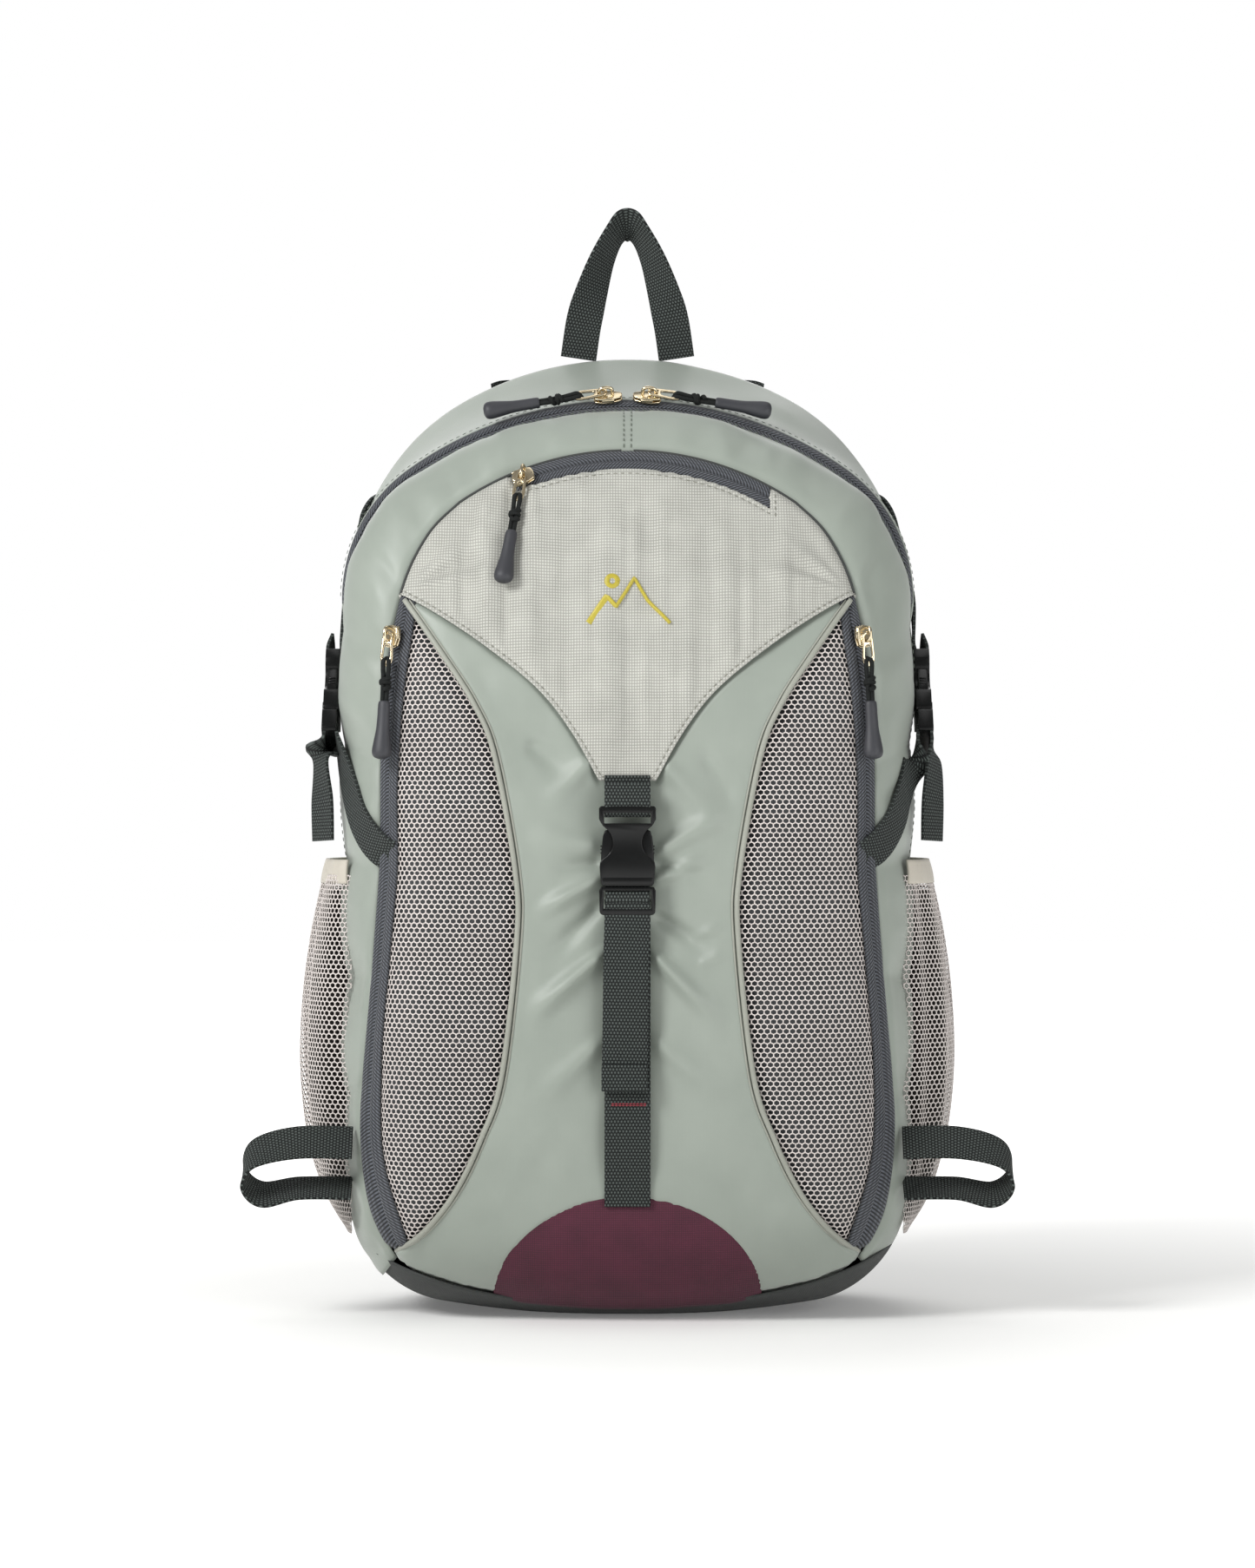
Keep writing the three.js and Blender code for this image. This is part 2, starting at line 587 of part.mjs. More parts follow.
function sideStraps(mirror, side) {
  const wall = Math.max(halfWidthAt(sideBuckle.z), halfWidthAt(sideBuckle.z - buckle.socketHeight));
  const x = mirror * (wall + sideStrapStandOff + restGap);
  const along = new THREE.Vector3(0, Math.sin(sideStrapLean), Math.cos(sideStrapLean));
  const inward = new THREE.Vector3(-mirror, 0, 0);
  const across = new THREE.Vector3().crossVectors(inward, along);
  const pose = new THREE.Matrix4().makeBasis(across, inward, along).setPosition(x, sideBuckle.y, sideBuckle.z);
  const turned = (made) => toGeometry(made).applyMatrix4(pose);
  const world = ([px, py, pz]) => {
    const p = new THREE.Vector3(px, py, pz).applyMatrix4(pose);
    return [p.x, p.y, p.z, across.x, across.y, across.z];
  };
  place(`side_buckle_socket_${side}`, turned(socket(sideBuckleScale)), materials.plastic);
  const arms = lever(sideBuckleScale).add(flipped(lever(sideBuckleScale)));
  const root = block(-8.4 * sideBuckleScale, 8.4 * sideBuckleScale, -buckle.depth + 2.2, -2.2, frameTop - 1,
    frameTop + 1.5);
  place(`side_buckle_frame_${side}`, turned(frame(sideBuckleScale).add(arms).add(root)), materials.plastic);
  const upper = aroundBar(frontSocketBar, -1, [], [[0, bendY - bendRadius, frontSocketBar + 6, 1, 0, 0],
    [0, bendY - 1, frontSocketBar + 14, 1, 0, 0]]).map(world);
  const rearStart = world([0, -strapLift + restGap, 106]);
  const rearLow = world([0, -strapLift + restGap, 28]);
  place(`side_strap_upper_${side}`, strip([rearStart, rearLow, ...upper], webbingNarrow - 1, webbingThickness, 20),
    materials.webbing);
  const lower = aroundBar(frontFrameBar, 1, [], [[0, bendY - bendRadius, frontFrameBar - 5, 1, 0, 0]]).map(world);
  const flat = [0, 1, 0];
  const tail = [[x + mirror * 9.5, -22, 296, ...flat], [x + mirror * 8.5, -25, 275, ...flat],
    [x + mirror * 8, -25, 254, ...flat]];
  const start = [[-57, 258], [-48, 269], [-36, 284]].map(([y, z]) => {
    const { point, normal } = onSide(y, z, strapLift);
    const wide = new THREE.Vector3().crossVectors(normal, new THREE.Vector3(0, sideStrapLean, 1)).normalize();
    return [point.x * mirror, point.y, point.z, wide.x * mirror, wide.y, wide.z];
  });
  place(`side_strap_lower_${side}`, strip([...start, world([0, -strapLift + restGap, frameLow - 3]), ...lower,
    ...tail], webbingNarrow - 1, webbingThickness, 36), materials.webbing);
}
sideStraps(-1, 'left');
sideStraps(1, 'right');

// ---- Tool loops ----
const toolLoop = { y: -52, low: 57, high: 98, standOff: 54 };

function toolLoops(mirror, side) {
  const { y, low, high, standOff } = toolLoop;
  const wall = waistHalfWidth;
  const far = wall + standOff;
  const middle = (low + high) / 2;
  // The loop leans: its upper leg runs further forward, and the width of both legs rises to the rear.
  const upperLeg = [[wall - 4, high - 4, -4, 0.6, 0.8], [wall + 26, high - 4, -4, 0.6, 0.8],
    [far - 6, high - 10, -3, 0.7, 0.7]];
  const lowerLeg = [[far - 9, low + 9, 4, 0.8, 0.6], [wall + 25, low + 12, 6, 0.85, 0.5],
    [wall - 3, low + 12, 6, 0.85, 0.5]];
  const stations = [...upperLeg, [far, middle - 2, 1, 0.8, 0.6], ...lowerLeg].map(([x, z, ahead, wideY, wideZ]) =>
    [x * mirror, y + ahead, z, 0, wideY, wideZ]);
  place(`tool_loop_${side}`, strip(stations, webbingNarrow, webbingThickness, 18), materials.webbing);
}
toolLoops(-1, 'left');
toolLoops(1, 'right');

// ---- Bottle pockets ----
const bottlePocket = { front: -36, rear: 66, wall: 2, gap: 2 };
const pocketProfile = [at(44, 2), at(60, 13), at(90, 22), at(130, 26.5), at(170, 25.5), at(205, 21), at(244, 12.5)];

function pocketRings(inset, above) {
  const { front, rear } = bottlePocket;
  const profile = new THREE.SplineCurve(pocketProfile);
  const rings = [];
  for (let i = 0; i <= 7; i++) {
    const p = profile.getPoint(i / 7);
    const ring = [];
    for (let j = 0; j <= 10; j++) {
      const t = j / 10;
      const swell = (p.y + 3) * Math.sin(Math.PI * t) ** 0.6;
      ring.push(new THREE.Vector3(waistHalfWidth - 2 + Math.max(0, swell - inset),
        front + inset + (rear - front - 2 * inset) * t, p.x + (i === 0 ? inset : 0)));
    }
    ring.push(new THREE.Vector3(120, rear - inset, ring[0].z), new THREE.Vector3(120, front + inset, ring[0].z));
    rings.push(ring);
  }
  if (above > 0) rings.push(rings[rings.length - 1].map((p) => p.clone().setZ(p.z + above)));
  return rings;
}

function bottlePockets() {
  const clear = bodySolid(-bottlePocket.gap);
  const wall = solid(loft(pocketRings(0, 0))).subtract(solid(loft(pocketRings(bottlePocket.wall, 20))))
    .subtract(clear);
  place('bottle_pocket_right', wall, materials.mesh);
  place('bottle_pocket_left', flipped(wall), materials.mesh);
}
bottlePockets();

// ---- Carrying harness ----
const strapPad = { width: 65, thickness: 12 };
const restY = backPlaneY - shellThickness + backPanelThickness;

// A padded strap: like a strip, with round edges.
function paddedStrip(stations, width, thickness, steps) {
  const points = new THREE.CatmullRomCurve3(stations.map((s) => new THREE.Vector3(s[0], s[1], s[2])));
  const wide = new THREE.Vector3(1, 0, 0);
  const rings = [];
  for (let i = 0; i <= steps; i++) {
    const p = points.getPoint(i / steps);
    const along = points.getTangent(i / steps);
    const across = wide.clone().addScaledVector(along, -wide.dot(along)).normalize();
    const thick = new THREE.Vector3().crossVectors(along, across).normalize();
    const narrow = i === 0 || i === steps ? 0.94 : 1;
    rings.push(Array.from({ length: 10 }, (_, j) => {
      const angle = (j / 10) * 2 * Math.PI + 0.3;
      const u = Math.sign(Math.cos(angle)) * Math.abs(Math.cos(angle)) ** 0.35;
      const v = Math.sign(Math.sin(angle)) * Math.abs(Math.sin(angle)) ** 0.6;
      return p.clone().addScaledVector(across, u * narrow * width / 2).addScaledVector(thick, v * thickness / 2);
    }));
  }
  return loft(rings);
}

function harness(mirror, side) {
  const inside = restY + strapPad.thickness / 2 + 1.5;
  const pad = [[-46, inside, 508], [-48, inside + 0.5, 490], [-58, inside + 20, 462], [-72, inside + 38, 415],
    [-84, inside + 43, 350], [-90, inside + 37, 270], [-88, inside + 19, 204], [-84, inside + 7, 170]];
  place(`shoulder_strap_${side}`, paddedStrip(pad.map(([x, y, z]) => [-x * mirror, y, z]), strapPad.width,
    strapPad.thickness, 16), materials.foam);
  const lockX = 83.5 * mirror;
  const lockTop = 163;
  const lockBack = restY + 4.5;
  const slotHalf = webbingNarrow / 2 + 1;
  const plateHalf = slotHalf + 3;
  const plate = block(-plateHalf, plateHalf, lockBack, lockBack + 3.6, lockTop - 24, lockTop);
  const upperSlot = block(-slotHalf, slotHalf, 0, 300, lockTop - 7, lockTop - 3);
  const lowerSlot = block(-slotHalf, slotHalf, 0, 300, lockTop - 20, lockTop - 12);
  const lock = place(`ladder_lock_${side}`, plate.subtract(upperSlot).subtract(lowerSlot), materials.plastic);
  lock.position.set(lockX, 0, 0);
  const wide = [1, 0, -0.3 * mirror];
  const webbing = [[lockX, restY + 1.8, lockTop - 1, 1, 0, 0], [lockX, restY + 2, lockTop - 10, 1, 0, 0],
    [lockX, lockBack + 1.8, lockTop - 16, 1, 0, 0], [lockX, lockBack + 6, lockTop - 22, 1, 0, 0],
    [lockX + 6 * mirror, lockBack + 5, lockTop - 45, ...wide], [lockX + 24 * mirror, restY + 6, 90, ...wide],
    [lockX + 37 * mirror, restY + 1.8, 42, ...wide]];
  place(`shoulder_webbing_${side}`, strip(webbing, webbingNarrow, webbingThickness, 18), materials.webbing);
}
harness(-1, 'left');
harness(1, 'right');

// ---- Zip sliders and pulls ----
// Made at the origin: travel along +X, the tape across Y, and away from the cloth +Z.
const slider = { length: 12, width: 9.5, height: 3.4 };

function sliderBody(bridgeTurn) {
  const { length, width, height } = slider;
  const outline = new THREE.Shape([at(-length / 2, -width / 2), at(length / 2 - 4, -width / 2),
    at(length / 2, -width / 2 + 2.6), at(length / 2, width / 2 - 2.6), at(length / 2 - 4, width / 2),
    at(-length / 2, width / 2)]);
  const base = solid(new THREE.ExtrudeGeometry(outline, { depth: height, bevelEnabled: false }));
  const bridge = block(-4.6, 3, -1.2, 1.2, height - 0.2, 8.2).subtract(block(-3.2, 1.6, -2, 2, height - 1, 7));
  return base.add(solid(toGeometry(bridge).rotateZ(bridgeTurn)));
}

function pullTab(length) {
  const width = 7;
  const plate = block(-1.8, length, -width / 2, width / 2, 4.5, 5.9);
  const eye = block(0.2, 4.4, -2, 2, 0, 10);
  const cordHole = block(length - 4.2, length - 1.4, -2.1, 2.1, 0, 10);
  return plate.subtract(eye).subtract(cordHole);
}

// A cord doubled through the tab, ending in a moulded grip.
function cordGrip(tabLength, reachTo) {
  const hole = tabLength - 3.7;
  const cordWidth = 2.4;
  const loopTurn = block(hole, reachTo - 14, -cordWidth / 2, cordWidth / 2, 3, 7.4)
    .subtract(block(hole + 1.9, hole + 6.5, -3, 3, 4.1, 6.3));
  const half = [[reachTo - 26, 2.6, 1.9], [reachTo - 22, 3.6, 2.4], [reachTo - 6, 4.2, 2.6], [reachTo - 1.2, 3.4, 2.2],
    [reachTo, 2, 1.3]];
  const rings = half.map(([x, wide, high]) => Array.from({ length: 8 }, (_, i) => {
    const angle = ((i + 0.5) / 8) * 2 * Math.PI;
    return new THREE.Vector3(x, wide * 1.08 * Math.cos(angle), 5.2 + high * 1.08 * Math.sin(angle));
  }));
  return loopTurn.add(solid(loft(rings)));
}

const hang = { tab: 15, reach: 66 };

// A slider and its pull: origin on the tape, travel direction, outward direction, and the pull's own direction.
function zipPull(name, origin, travel, outward, pullWay, parent) {
  const basis = (way) => {
    const z = outward.clone().addScaledVector(way, -outward.dot(way)).normalize();
    const y = new THREE.Vector3().crossVectors(z, way);
    return new THREE.Matrix4().makeBasis(way, y, z).setPosition(origin);
  };
  const put = (part, made, material, pose) => place(part, toGeometry(made).applyMatrix4(pose), material, parent);
  const turn = Math.atan2(new THREE.Vector3().crossVectors(travel, pullWay).dot(outward), travel.dot(pullWay));
  put(`${name}_slider`, sliderBody(turn), materials.metal, basis(travel));
  put(`${name}_pull_tab`, pullTab(hang.tab), materials.metal, basis(pullWay));
  put(`${name}_pull_grip`, cordGrip(hang.tab, hang.reach), materials.rubber, basis(pullWay));
}

const mainSliderAngle = THREE.MathUtils.degToRad(3.4);
const sliderGap = restGap;
const mainSliderGap = restGap + 2; // the gusset rises behind the zip

function mainPulls(mirror, side) {
  const angle = mainSliderAngle;
  const out = new THREE.Vector3(mirror * Math.sin(angle), 0, Math.cos(angle));
  const way = new THREE.Vector3(mirror * Math.cos(angle), 0, -Math.sin(angle));
  const hub = new THREE.Vector3(0, zipPlaneY, zipArchTop - zipArchRadius);
  zipPull(`main_${side}`, hub.addScaledVector(out, zipArchRadius + mainSliderGap), way, out, way, lid);
}
mainPulls(-1, 'left');
mainPulls(1, 'right');

function pocketPull() {
  const angle = pocketZipFrom + 0.035;
  const r = frontArchRadius - pocketZipWidth / 2;
  const x = r * Math.sin(angle);
  const z = frontArchCentre + r * Math.cos(angle);
  const { point, normal } = onFront(x, z, sliderGap);
  const travel = new THREE.Vector3(Math.cos(angle), 0, -Math.sin(angle));
  travel.addScaledVector(normal, -travel.dot(normal)).normalize();
  const hanging = onFront(x - 9, z - 56, sliderGap + 2).point.sub(point).normalize();
  zipPull('pocket', point, travel, normal, hanging, lid);
}
pocketPull();

const meshSliderGap = restGap + 1.2; // the cloth twists under it as it travels
const meshZipPath = { start: at(122.5, 362), end: at(130.8, 200) };

function meshPulls(mirror, side) {
  const { start, end } = meshZipPath;
  const { point, normal } = onFront(mirror * start.x, start.y, meshSliderGap);
  const outward = onFront(mirror * end.x, end.y).normal.add(normal).normalize();
  const way = onFront(mirror * (start.x + 0.45), start.y - 12, meshSliderGap).point.sub(point).normalize();
  zipPull(`mesh_${side}`, point, way, outward, way, bag);
}
meshPulls(-1, 'left');
meshPulls(1, 'right');

// The origin is the middle of the whole object's base.
const extent = new THREE.Box3().setFromObject(bag);
const middle = extent.getCenter(new THREE.Vector3());
bag.position.set(-middle.x, -middle.y, -extent.min.z);

export default bag;
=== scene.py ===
import math

import bmesh
import bpy
import numpy as np
from mathutils import Matrix, Vector


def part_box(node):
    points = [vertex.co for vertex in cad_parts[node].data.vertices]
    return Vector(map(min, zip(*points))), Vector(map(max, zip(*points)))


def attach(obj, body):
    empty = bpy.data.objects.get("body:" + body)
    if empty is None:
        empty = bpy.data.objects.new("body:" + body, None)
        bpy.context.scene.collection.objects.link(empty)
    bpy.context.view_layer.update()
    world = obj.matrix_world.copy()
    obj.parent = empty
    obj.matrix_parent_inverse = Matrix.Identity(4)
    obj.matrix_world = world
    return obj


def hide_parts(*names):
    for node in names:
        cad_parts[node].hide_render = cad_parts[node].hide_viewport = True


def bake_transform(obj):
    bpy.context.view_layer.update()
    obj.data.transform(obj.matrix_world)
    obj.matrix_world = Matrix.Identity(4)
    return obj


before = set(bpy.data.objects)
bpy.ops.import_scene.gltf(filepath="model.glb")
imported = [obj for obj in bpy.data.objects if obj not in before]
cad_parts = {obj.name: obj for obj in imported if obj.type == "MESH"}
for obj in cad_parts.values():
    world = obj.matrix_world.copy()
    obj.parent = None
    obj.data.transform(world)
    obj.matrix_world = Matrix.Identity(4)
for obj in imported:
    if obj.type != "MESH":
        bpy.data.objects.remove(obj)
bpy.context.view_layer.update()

# Everything below is worked out in millimetres in the bag's own drawing frame, whose Y zero is 5 mm ahead
# of the main zip. The frame says how far that lies from the model's origin.
bagForm = dict(
    zipY=5.0, backY=88.0, centreZ=225.0, bulge=97.0, bulgeZ=130.0,
    zipArch=dict(top=490.0, radius=205.0, halfAngle=35.0, shoulder=83.0, low=150.0),
    backArch=dict(top=525.5, radius=185.0, halfAngle=30.0, shoulder=119.0, low=146.0),
    baseRadius=625.0, baseDip=2.5, cornerRadius=59.0, seamGap=0.4, foldHalf=12.0)
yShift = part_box("main_zip_tape_front")[1].y * 1000 - (bagForm["zipY"] - bagForm["seamGap"])
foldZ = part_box("front_gusset")[0].z * 1000 - bagForm["seamGap"]


def toModel(points):
    moved = np.array(points, float)
    moved[..., 1] += yShift
    return moved * 0.001


def smooth(low, high, value):
    t = np.clip((np.asarray(value, float) - low) / (high - low), 0, 1)
    return t * t * (3 - 2 * t)


def spline(points, count):
    # A uniform Catmull-Rom line through every point, in any number of dimensions.
    p = np.array(points, float)
    q = np.linspace(0, len(p) - 1, count)
    i = np.minimum(q.astype(int), len(p) - 2)
    t = (q - i)[:, None]
    a, b = p[np.maximum(i - 1, 0)], p[i]
    c, d = p[i + 1], p[np.minimum(i + 2, len(p) - 1)]
    square, cube = 2 * a - 5 * b + 4 * c - d, 3 * b - a - 3 * c + d
    return 0.5 * (2 * b + (c - a) * t + square * t ** 2 + cube * t ** 3)


def runAlong(line):
    # How far along a line each of its points lies.
    return np.concatenate([[0], np.cumsum(np.linalg.norm(np.diff(line, axis=0), axis=1))])


def unit(v):
    return np.asarray(v, float) / np.linalg.norm(v)


def unitRows(rows):
    return rows / np.linalg.norm(rows, axis=1, keepdims=True)


noiseGrid = np.random.RandomState(11).uniform(-1, 1, (6, 64, 64))


def softNoise(u, v, layer=0):
    u, v = np.broadcast_arrays(np.asarray(u, float), np.asarray(v, float))
    iu, iv = np.floor(u).astype(int), np.floor(v).astype(int)
    fu, fv = u - iu, v - iv
    fu, fv = fu * fu * (3 - 2 * fu), fv * fv * (3 - 2 * fv)
    g = noiseGrid[layer % 6]
    a, b = g[iu % 64, iv % 64], g[(iu + 1) % 64, iv % 64]
    c, d = g[iu % 64, (iv + 1) % 64], g[(iu + 1) % 64, (iv + 1) % 64]
    return (a * (1 - fu) + b * fu) * (1 - fv) + (c * (1 - fu) + d * fu) * fv


def lineDistance(x, z, line):
    # Shortest way from each point to a drawn line.
    shape = np.shape(x)
    p = np.stack([np.ravel(x), np.ravel(z)], 1)[:, None, :]
    a, b = line[None, :-1], line[None, 1:]
    run = b - a
    t = np.clip(((p - a) * run).sum(2) / np.maximum((run ** 2).sum(2), 1e-9), 0, 1)
    return np.sqrt((((a + run * t[..., None]) - p) ** 2).sum(2)).min(1).reshape(shape)


def ridge(x, z, start, end, width, height):
    # A fold of cloth that springs from its start, widens and dies out towards its end.
    sx, sz = start
    dx, dz = end[0] - sx, end[1] - sz
    length = math.hypot(dx, dz)
    along = ((x - sx) * dx + (z - sz) * dz) / length ** 2
    aside = ((x - sx) * dz - (z - sz) * dx) / length
    wide = width * (0.55 + 0.75 * np.clip(along, 0, 1.2))
    fade = smooth(-0.12, 0.12, along) * (1 - smooth(0.45, 1.1, along))
    return height * np.exp(-(aside / wide) ** 2) * fade


def archSide(top, radius, halfAngle, shoulder, low):
    turn = math.radians(halfAngle)
    base, dip, corner = bagForm["baseRadius"], bagForm["baseDip"], bagForm["cornerRadius"]
    baseTurn = math.asin((low - corner) / (base - corner))
    lift = base - dip
    a = np.linspace(0, baseTurn, 40)
    bottom = np.stack([base * np.sin(a), lift - base * np.cos(a)], 1)
    a = np.linspace(baseTurn, math.pi / 2, 40)
    cornerZ = lift - (base - corner) * math.cos(baseTurn)
    side = np.stack([low - corner + corner * np.sin(a), cornerZ - corner * np.cos(a)], 1)
    hubX, hubZ = (radius - shoulder) * math.sin(turn), top - radius + (radius - shoulder) * math.cos(turn)
    a = np.linspace(0, math.pi / 2 - turn, 40)
    shoulderLine = np.stack([hubX + shoulder * np.cos(a), hubZ + shoulder * np.sin(a)], 1)
    a = np.linspace(math.pi / 2 - turn, math.pi / 2, 60)
    crown = np.stack([radius * np.cos(a), top - radius + radius * np.sin(a)], 1)
    line = np.concatenate([bottom, side[1:], shoulderLine, crown[1:]])
    spread = np.linspace(0, 1, 900) * (len(line) - 1)
    index = np.arange(len(line))
    return np.stack([np.interp(spread, index, line[:, 0]), np.interp(spread, index, line[:, 1])], 1)


def polar(line):
    angle = np.arctan2(line[:, 1] - bagForm["centreZ"], line[:, 0])
    order = np.argsort(angle)
    return angle[order], np.hypot(line[:, 0], line[:, 1] - bagForm["centreZ"])[order]


zipSide = archSide(**bagForm["zipArch"])
backSide = archSide(**bagForm["backArch"])
zipPolar, backPolar = polar(zipSide), polar(backSide)


def reach(table, angle):
    up = np.arctan2(np.sin(angle), np.abs(np.cos(angle)))
    return np.interp(up, table[0], table[1])


def depthAt(z):
    low, top = bagForm["bulgeZ"], bagForm["zipArch"]["top"]
    below = bagForm["bulge"] - 8 * ((low - z) / low) ** 2
    above = bagForm["bulge"] - 45 * (np.maximum(z - low, 0) / (top - low)) ** 2.2
    return np.where(z < low, below, above)


def powerAt(angle):
    return 5 + 5 * np.maximum(0, -np.sin(angle)) ** 2


def frontY(x, z):
    centre = bagForm["centreZ"]
    angle = np.arctan2(z - centre, x)
    share = np.hypot(x, z - centre) / reach(zipPolar, angle)
    return bagForm["zipY"] - depthAt(z) * np.sqrt(np.maximum(0, 1 - share ** powerAt(angle)))


def onFront(x, z, lift=0.0):
    x, z = np.broadcast_arrays(np.asarray(x, float), np.asarray(z, float))
    step = 0.6
    slopeX = (frontY(x + step, z) - frontY(x - step, z)) / (2 * step)
    slopeZ = (frontY(x, z + step) - frontY(x, z - step)) / (2 * step)
    normal = np.stack([slopeX, -np.ones_like(x), slopeZ], -1)
    normal /= np.linalg.norm(normal, axis=-1, keepdims=True)
    return np.stack([x, frontY(x, z), z], -1) + normal * np.asarray(lift)[..., None]


def wallRaw(angle, y):
    zipY, backY, centre = bagForm["zipY"], bagForm["backY"], bagForm["centreZ"]
    near = reach(zipPolar, angle)
    share = np.full(np.shape(angle + y), 0.95)
    for turn in range(8):
        depth = depthAt(centre + share * near * np.sin(angle))
        ahead = np.clip((zipY - y) / depth, 0, 1)
        share = 0.5 * share + 0.5 * (1 - ahead ** 2) ** (1 / powerAt(angle))
    back = np.clip((y - zipY) / (backY - zipY), 0, 1)
    swell = 3 * np.sin(math.pi * back) * np.abs(np.cos(angle))
    rear = near + (reach(backPolar, angle) - near) * back ** 1.2 + swell - 5 * smooth(0.92, 1, back)
    r = np.where(y < zipY, share * near, rear)
    return np.stack([r * np.cos(angle), y + 0 * r, centre + r * np.sin(angle)], -1)


def onWall(angle, y, lift=0.0):
    angle, y = np.broadcast_arrays(np.asarray(angle, float), np.asarray(y, float))
    du = wallRaw(angle + 0.004, y) - wallRaw(angle - 0.004, y)
    dv = wallRaw(angle, y + 0.5) - wallRaw(angle, y - 0.5)
    normal = np.cross(dv, du)
    normal /= np.maximum(np.linalg.norm(normal, axis=-1, keepdims=True), 1e-9)
    point = wallRaw(angle, y)
    outward = np.stack([np.cos(angle), 0 * y, np.sin(angle)], -1)
    normal *= np.sign((normal * outward).sum(-1, keepdims=True) + 1e-12)
    return point + normal * np.asarray(lift)[..., None]


def srgb(hexText):
    channels = [int(hexText[i:i + 2], 16) / 255 for i in (1, 3, 5)]
    return tuple(c / 12.92 if c <= 0.04045 else ((c + 0.055) / 1.055) ** 2.4 for c in channels) + (1.0,)


def addNode(tree, kind, settings=None, links=None):
    node = tree.nodes.new(kind)
    for key, value in (settings or {}).items():
        if hasattr(node, key) and key not in node.inputs:
            setattr(node, key, value)
        else:
            node.inputs[key].default_value = value
    for key, source in (links or {}).items():
        tree.links.new(source, node.inputs[key])
    return node


def startMaterial(name, roughness, metallic=0.0, sheen=0.0, specular=0.5):
    material = bpy.data.materials.new(name)
    material.use_nodes = True
    tree = material.node_tree
    tree.nodes.clear()
    shader = addNode(tree, "ShaderNodeBsdfPrincipled",
                     {"Roughness": roughness, "Metallic": metallic, "Sheen Weight": sheen,
                      "Sheen Roughness": 0.4, "Specular IOR Level": specular})
    addNode(tree, "ShaderNodeOutputMaterial", links={"Surface": shader.outputs[0]})
    return material, tree, shader


def maths(tree, operation, a, b=None):
    node = addNode(tree, "ShaderNodeMath", {"operation": operation})
    for slot, value in ((0, a), (1, b)):
        if value is None:
            continue
        if isinstance(value, (int, float)):
            node.inputs[slot].default_value = value
        else:
            tree.links.new(value, node.inputs[slot])
    return node.outputs[0]


def uvMillimetres(tree):
    # UV maps on cloth hold metres along the cloth, so threads keep their real pitch.
    where = addNode(tree, "ShaderNodeTexCoord")
    split = addNode(tree, "ShaderNodeSeparateXYZ", links={0: where.outputs["UV"]})
    u, v = (maths(tree, "MULTIPLY", split.outputs[k], 1000.0) for k in (0, 1))
    return u, v, where


def rising(tree, coordinate, pitch, phase=0.0):
    # 0 to 1 and back over one pitch.
    turned = maths(tree, "MULTIPLY", coordinate, 2 * math.pi / pitch)
    if not isinstance(phase, float) or phase:
        turned = maths(tree, "ADD", turned, phase)
    sine = maths(tree, "SINE", turned)
    return maths(tree, "ADD", maths(tree, "MULTIPLY", sine, 0.5), 0.5)


def noiseNode(tree, where, scale, detail=3.0):
    node = addNode(tree, "ShaderNodeTexNoise", {"Scale": scale, "Detail": detail},
                   {"Vector": where.outputs["Object"]})
    return node.outputs[0]


def mixColour(tree, factor, a, b):
    node = addNode(tree, "ShaderNodeMix", {"data_type": "RGBA"})
    node.inputs[6].default_value = a if isinstance(a, tuple) else (0, 0, 0, 1)
    node.inputs[7].default_value = b if isinstance(b, tuple) else (0, 0, 0, 1)
    if not isinstance(a, tuple):
        tree.links.new(a, node.inputs[6])
    if not isinstance(b, tuple):
        tree.links.new(b, node.inputs[7])
    tree.links.new(factor, node.inputs[0])
    return node.outputs[2]


def addBump(tree, shader, height, strength, distance):
    bump = addNode(tree, "ShaderNodeBump", {"Strength": strength, "Distance": distance}, {"Height": height})
    tree.links.new(bump.outputs[0], shader.inputs["Normal"])


def nylonTaffeta(name, light, dark, roughness=0.48, sheen=0.25):
    # Tightly woven filament nylon: smooth, a little silky, threads too fine to see singly.
    material, tree, shader = startMaterial(name, roughness, sheen=sheen)
    u, v, where = uvMillimetres(tree)
    # The threads are drawn twice as coarse as real.
    cross = maths(tree, "MULTIPLY", rising(tree, u, 0.6), rising(tree, v, 0.5))
    patches = noiseNode(tree, where, 38.0)
    tone = maths(tree, "ADD", maths(tree, "MULTIPLY", cross, 0.28), maths(tree, "MULTIPLY", patches, 0.8))
    tree.links.new(mixColour(tree, tone, srgb(dark), srgb(light)), shader.inputs["Base Color"])
    addBump(tree, shader, cross, 0.16, 0.00012)
    return material


def gridWeave(name, light, dark, pitchU, pitchV, depth=0.55, roughness=0.8):
    # Dobby or ripstop cloth: thin dark lines between thicker threads, both ways, drawn coarser than real.
    material, tree, shader = startMaterial(name, roughness, sheen=0.04)
    u, v, where = uvMillimetres(tree)
    wobble = maths(tree, "MULTIPLY", noiseNode(tree, where, 160.0), 0.35)
    warp = maths(tree, "POWER", rising(tree, maths(tree, "ADD", u, wobble), pitchU), 0.6)
    weft = maths(tree, "POWER", rising(tree, maths(tree, "ADD", v, wobble), pitchV), 0.6)
    cloth = maths(tree, "MULTIPLY", warp, weft)
    streak = noiseNode(tree, where, 60.0)
    tone = maths(tree, "ADD", maths(tree, "MULTIPLY", cloth, depth),
                 maths(tree, "MULTIPLY", streak, 1 - depth))
    tree.links.new(mixColour(tree, tone, srgb(dark), srgb(light)), shader.inputs["Base Color"])
    addBump(tree, shader, cloth, 0.45, 0.00025)
    return material


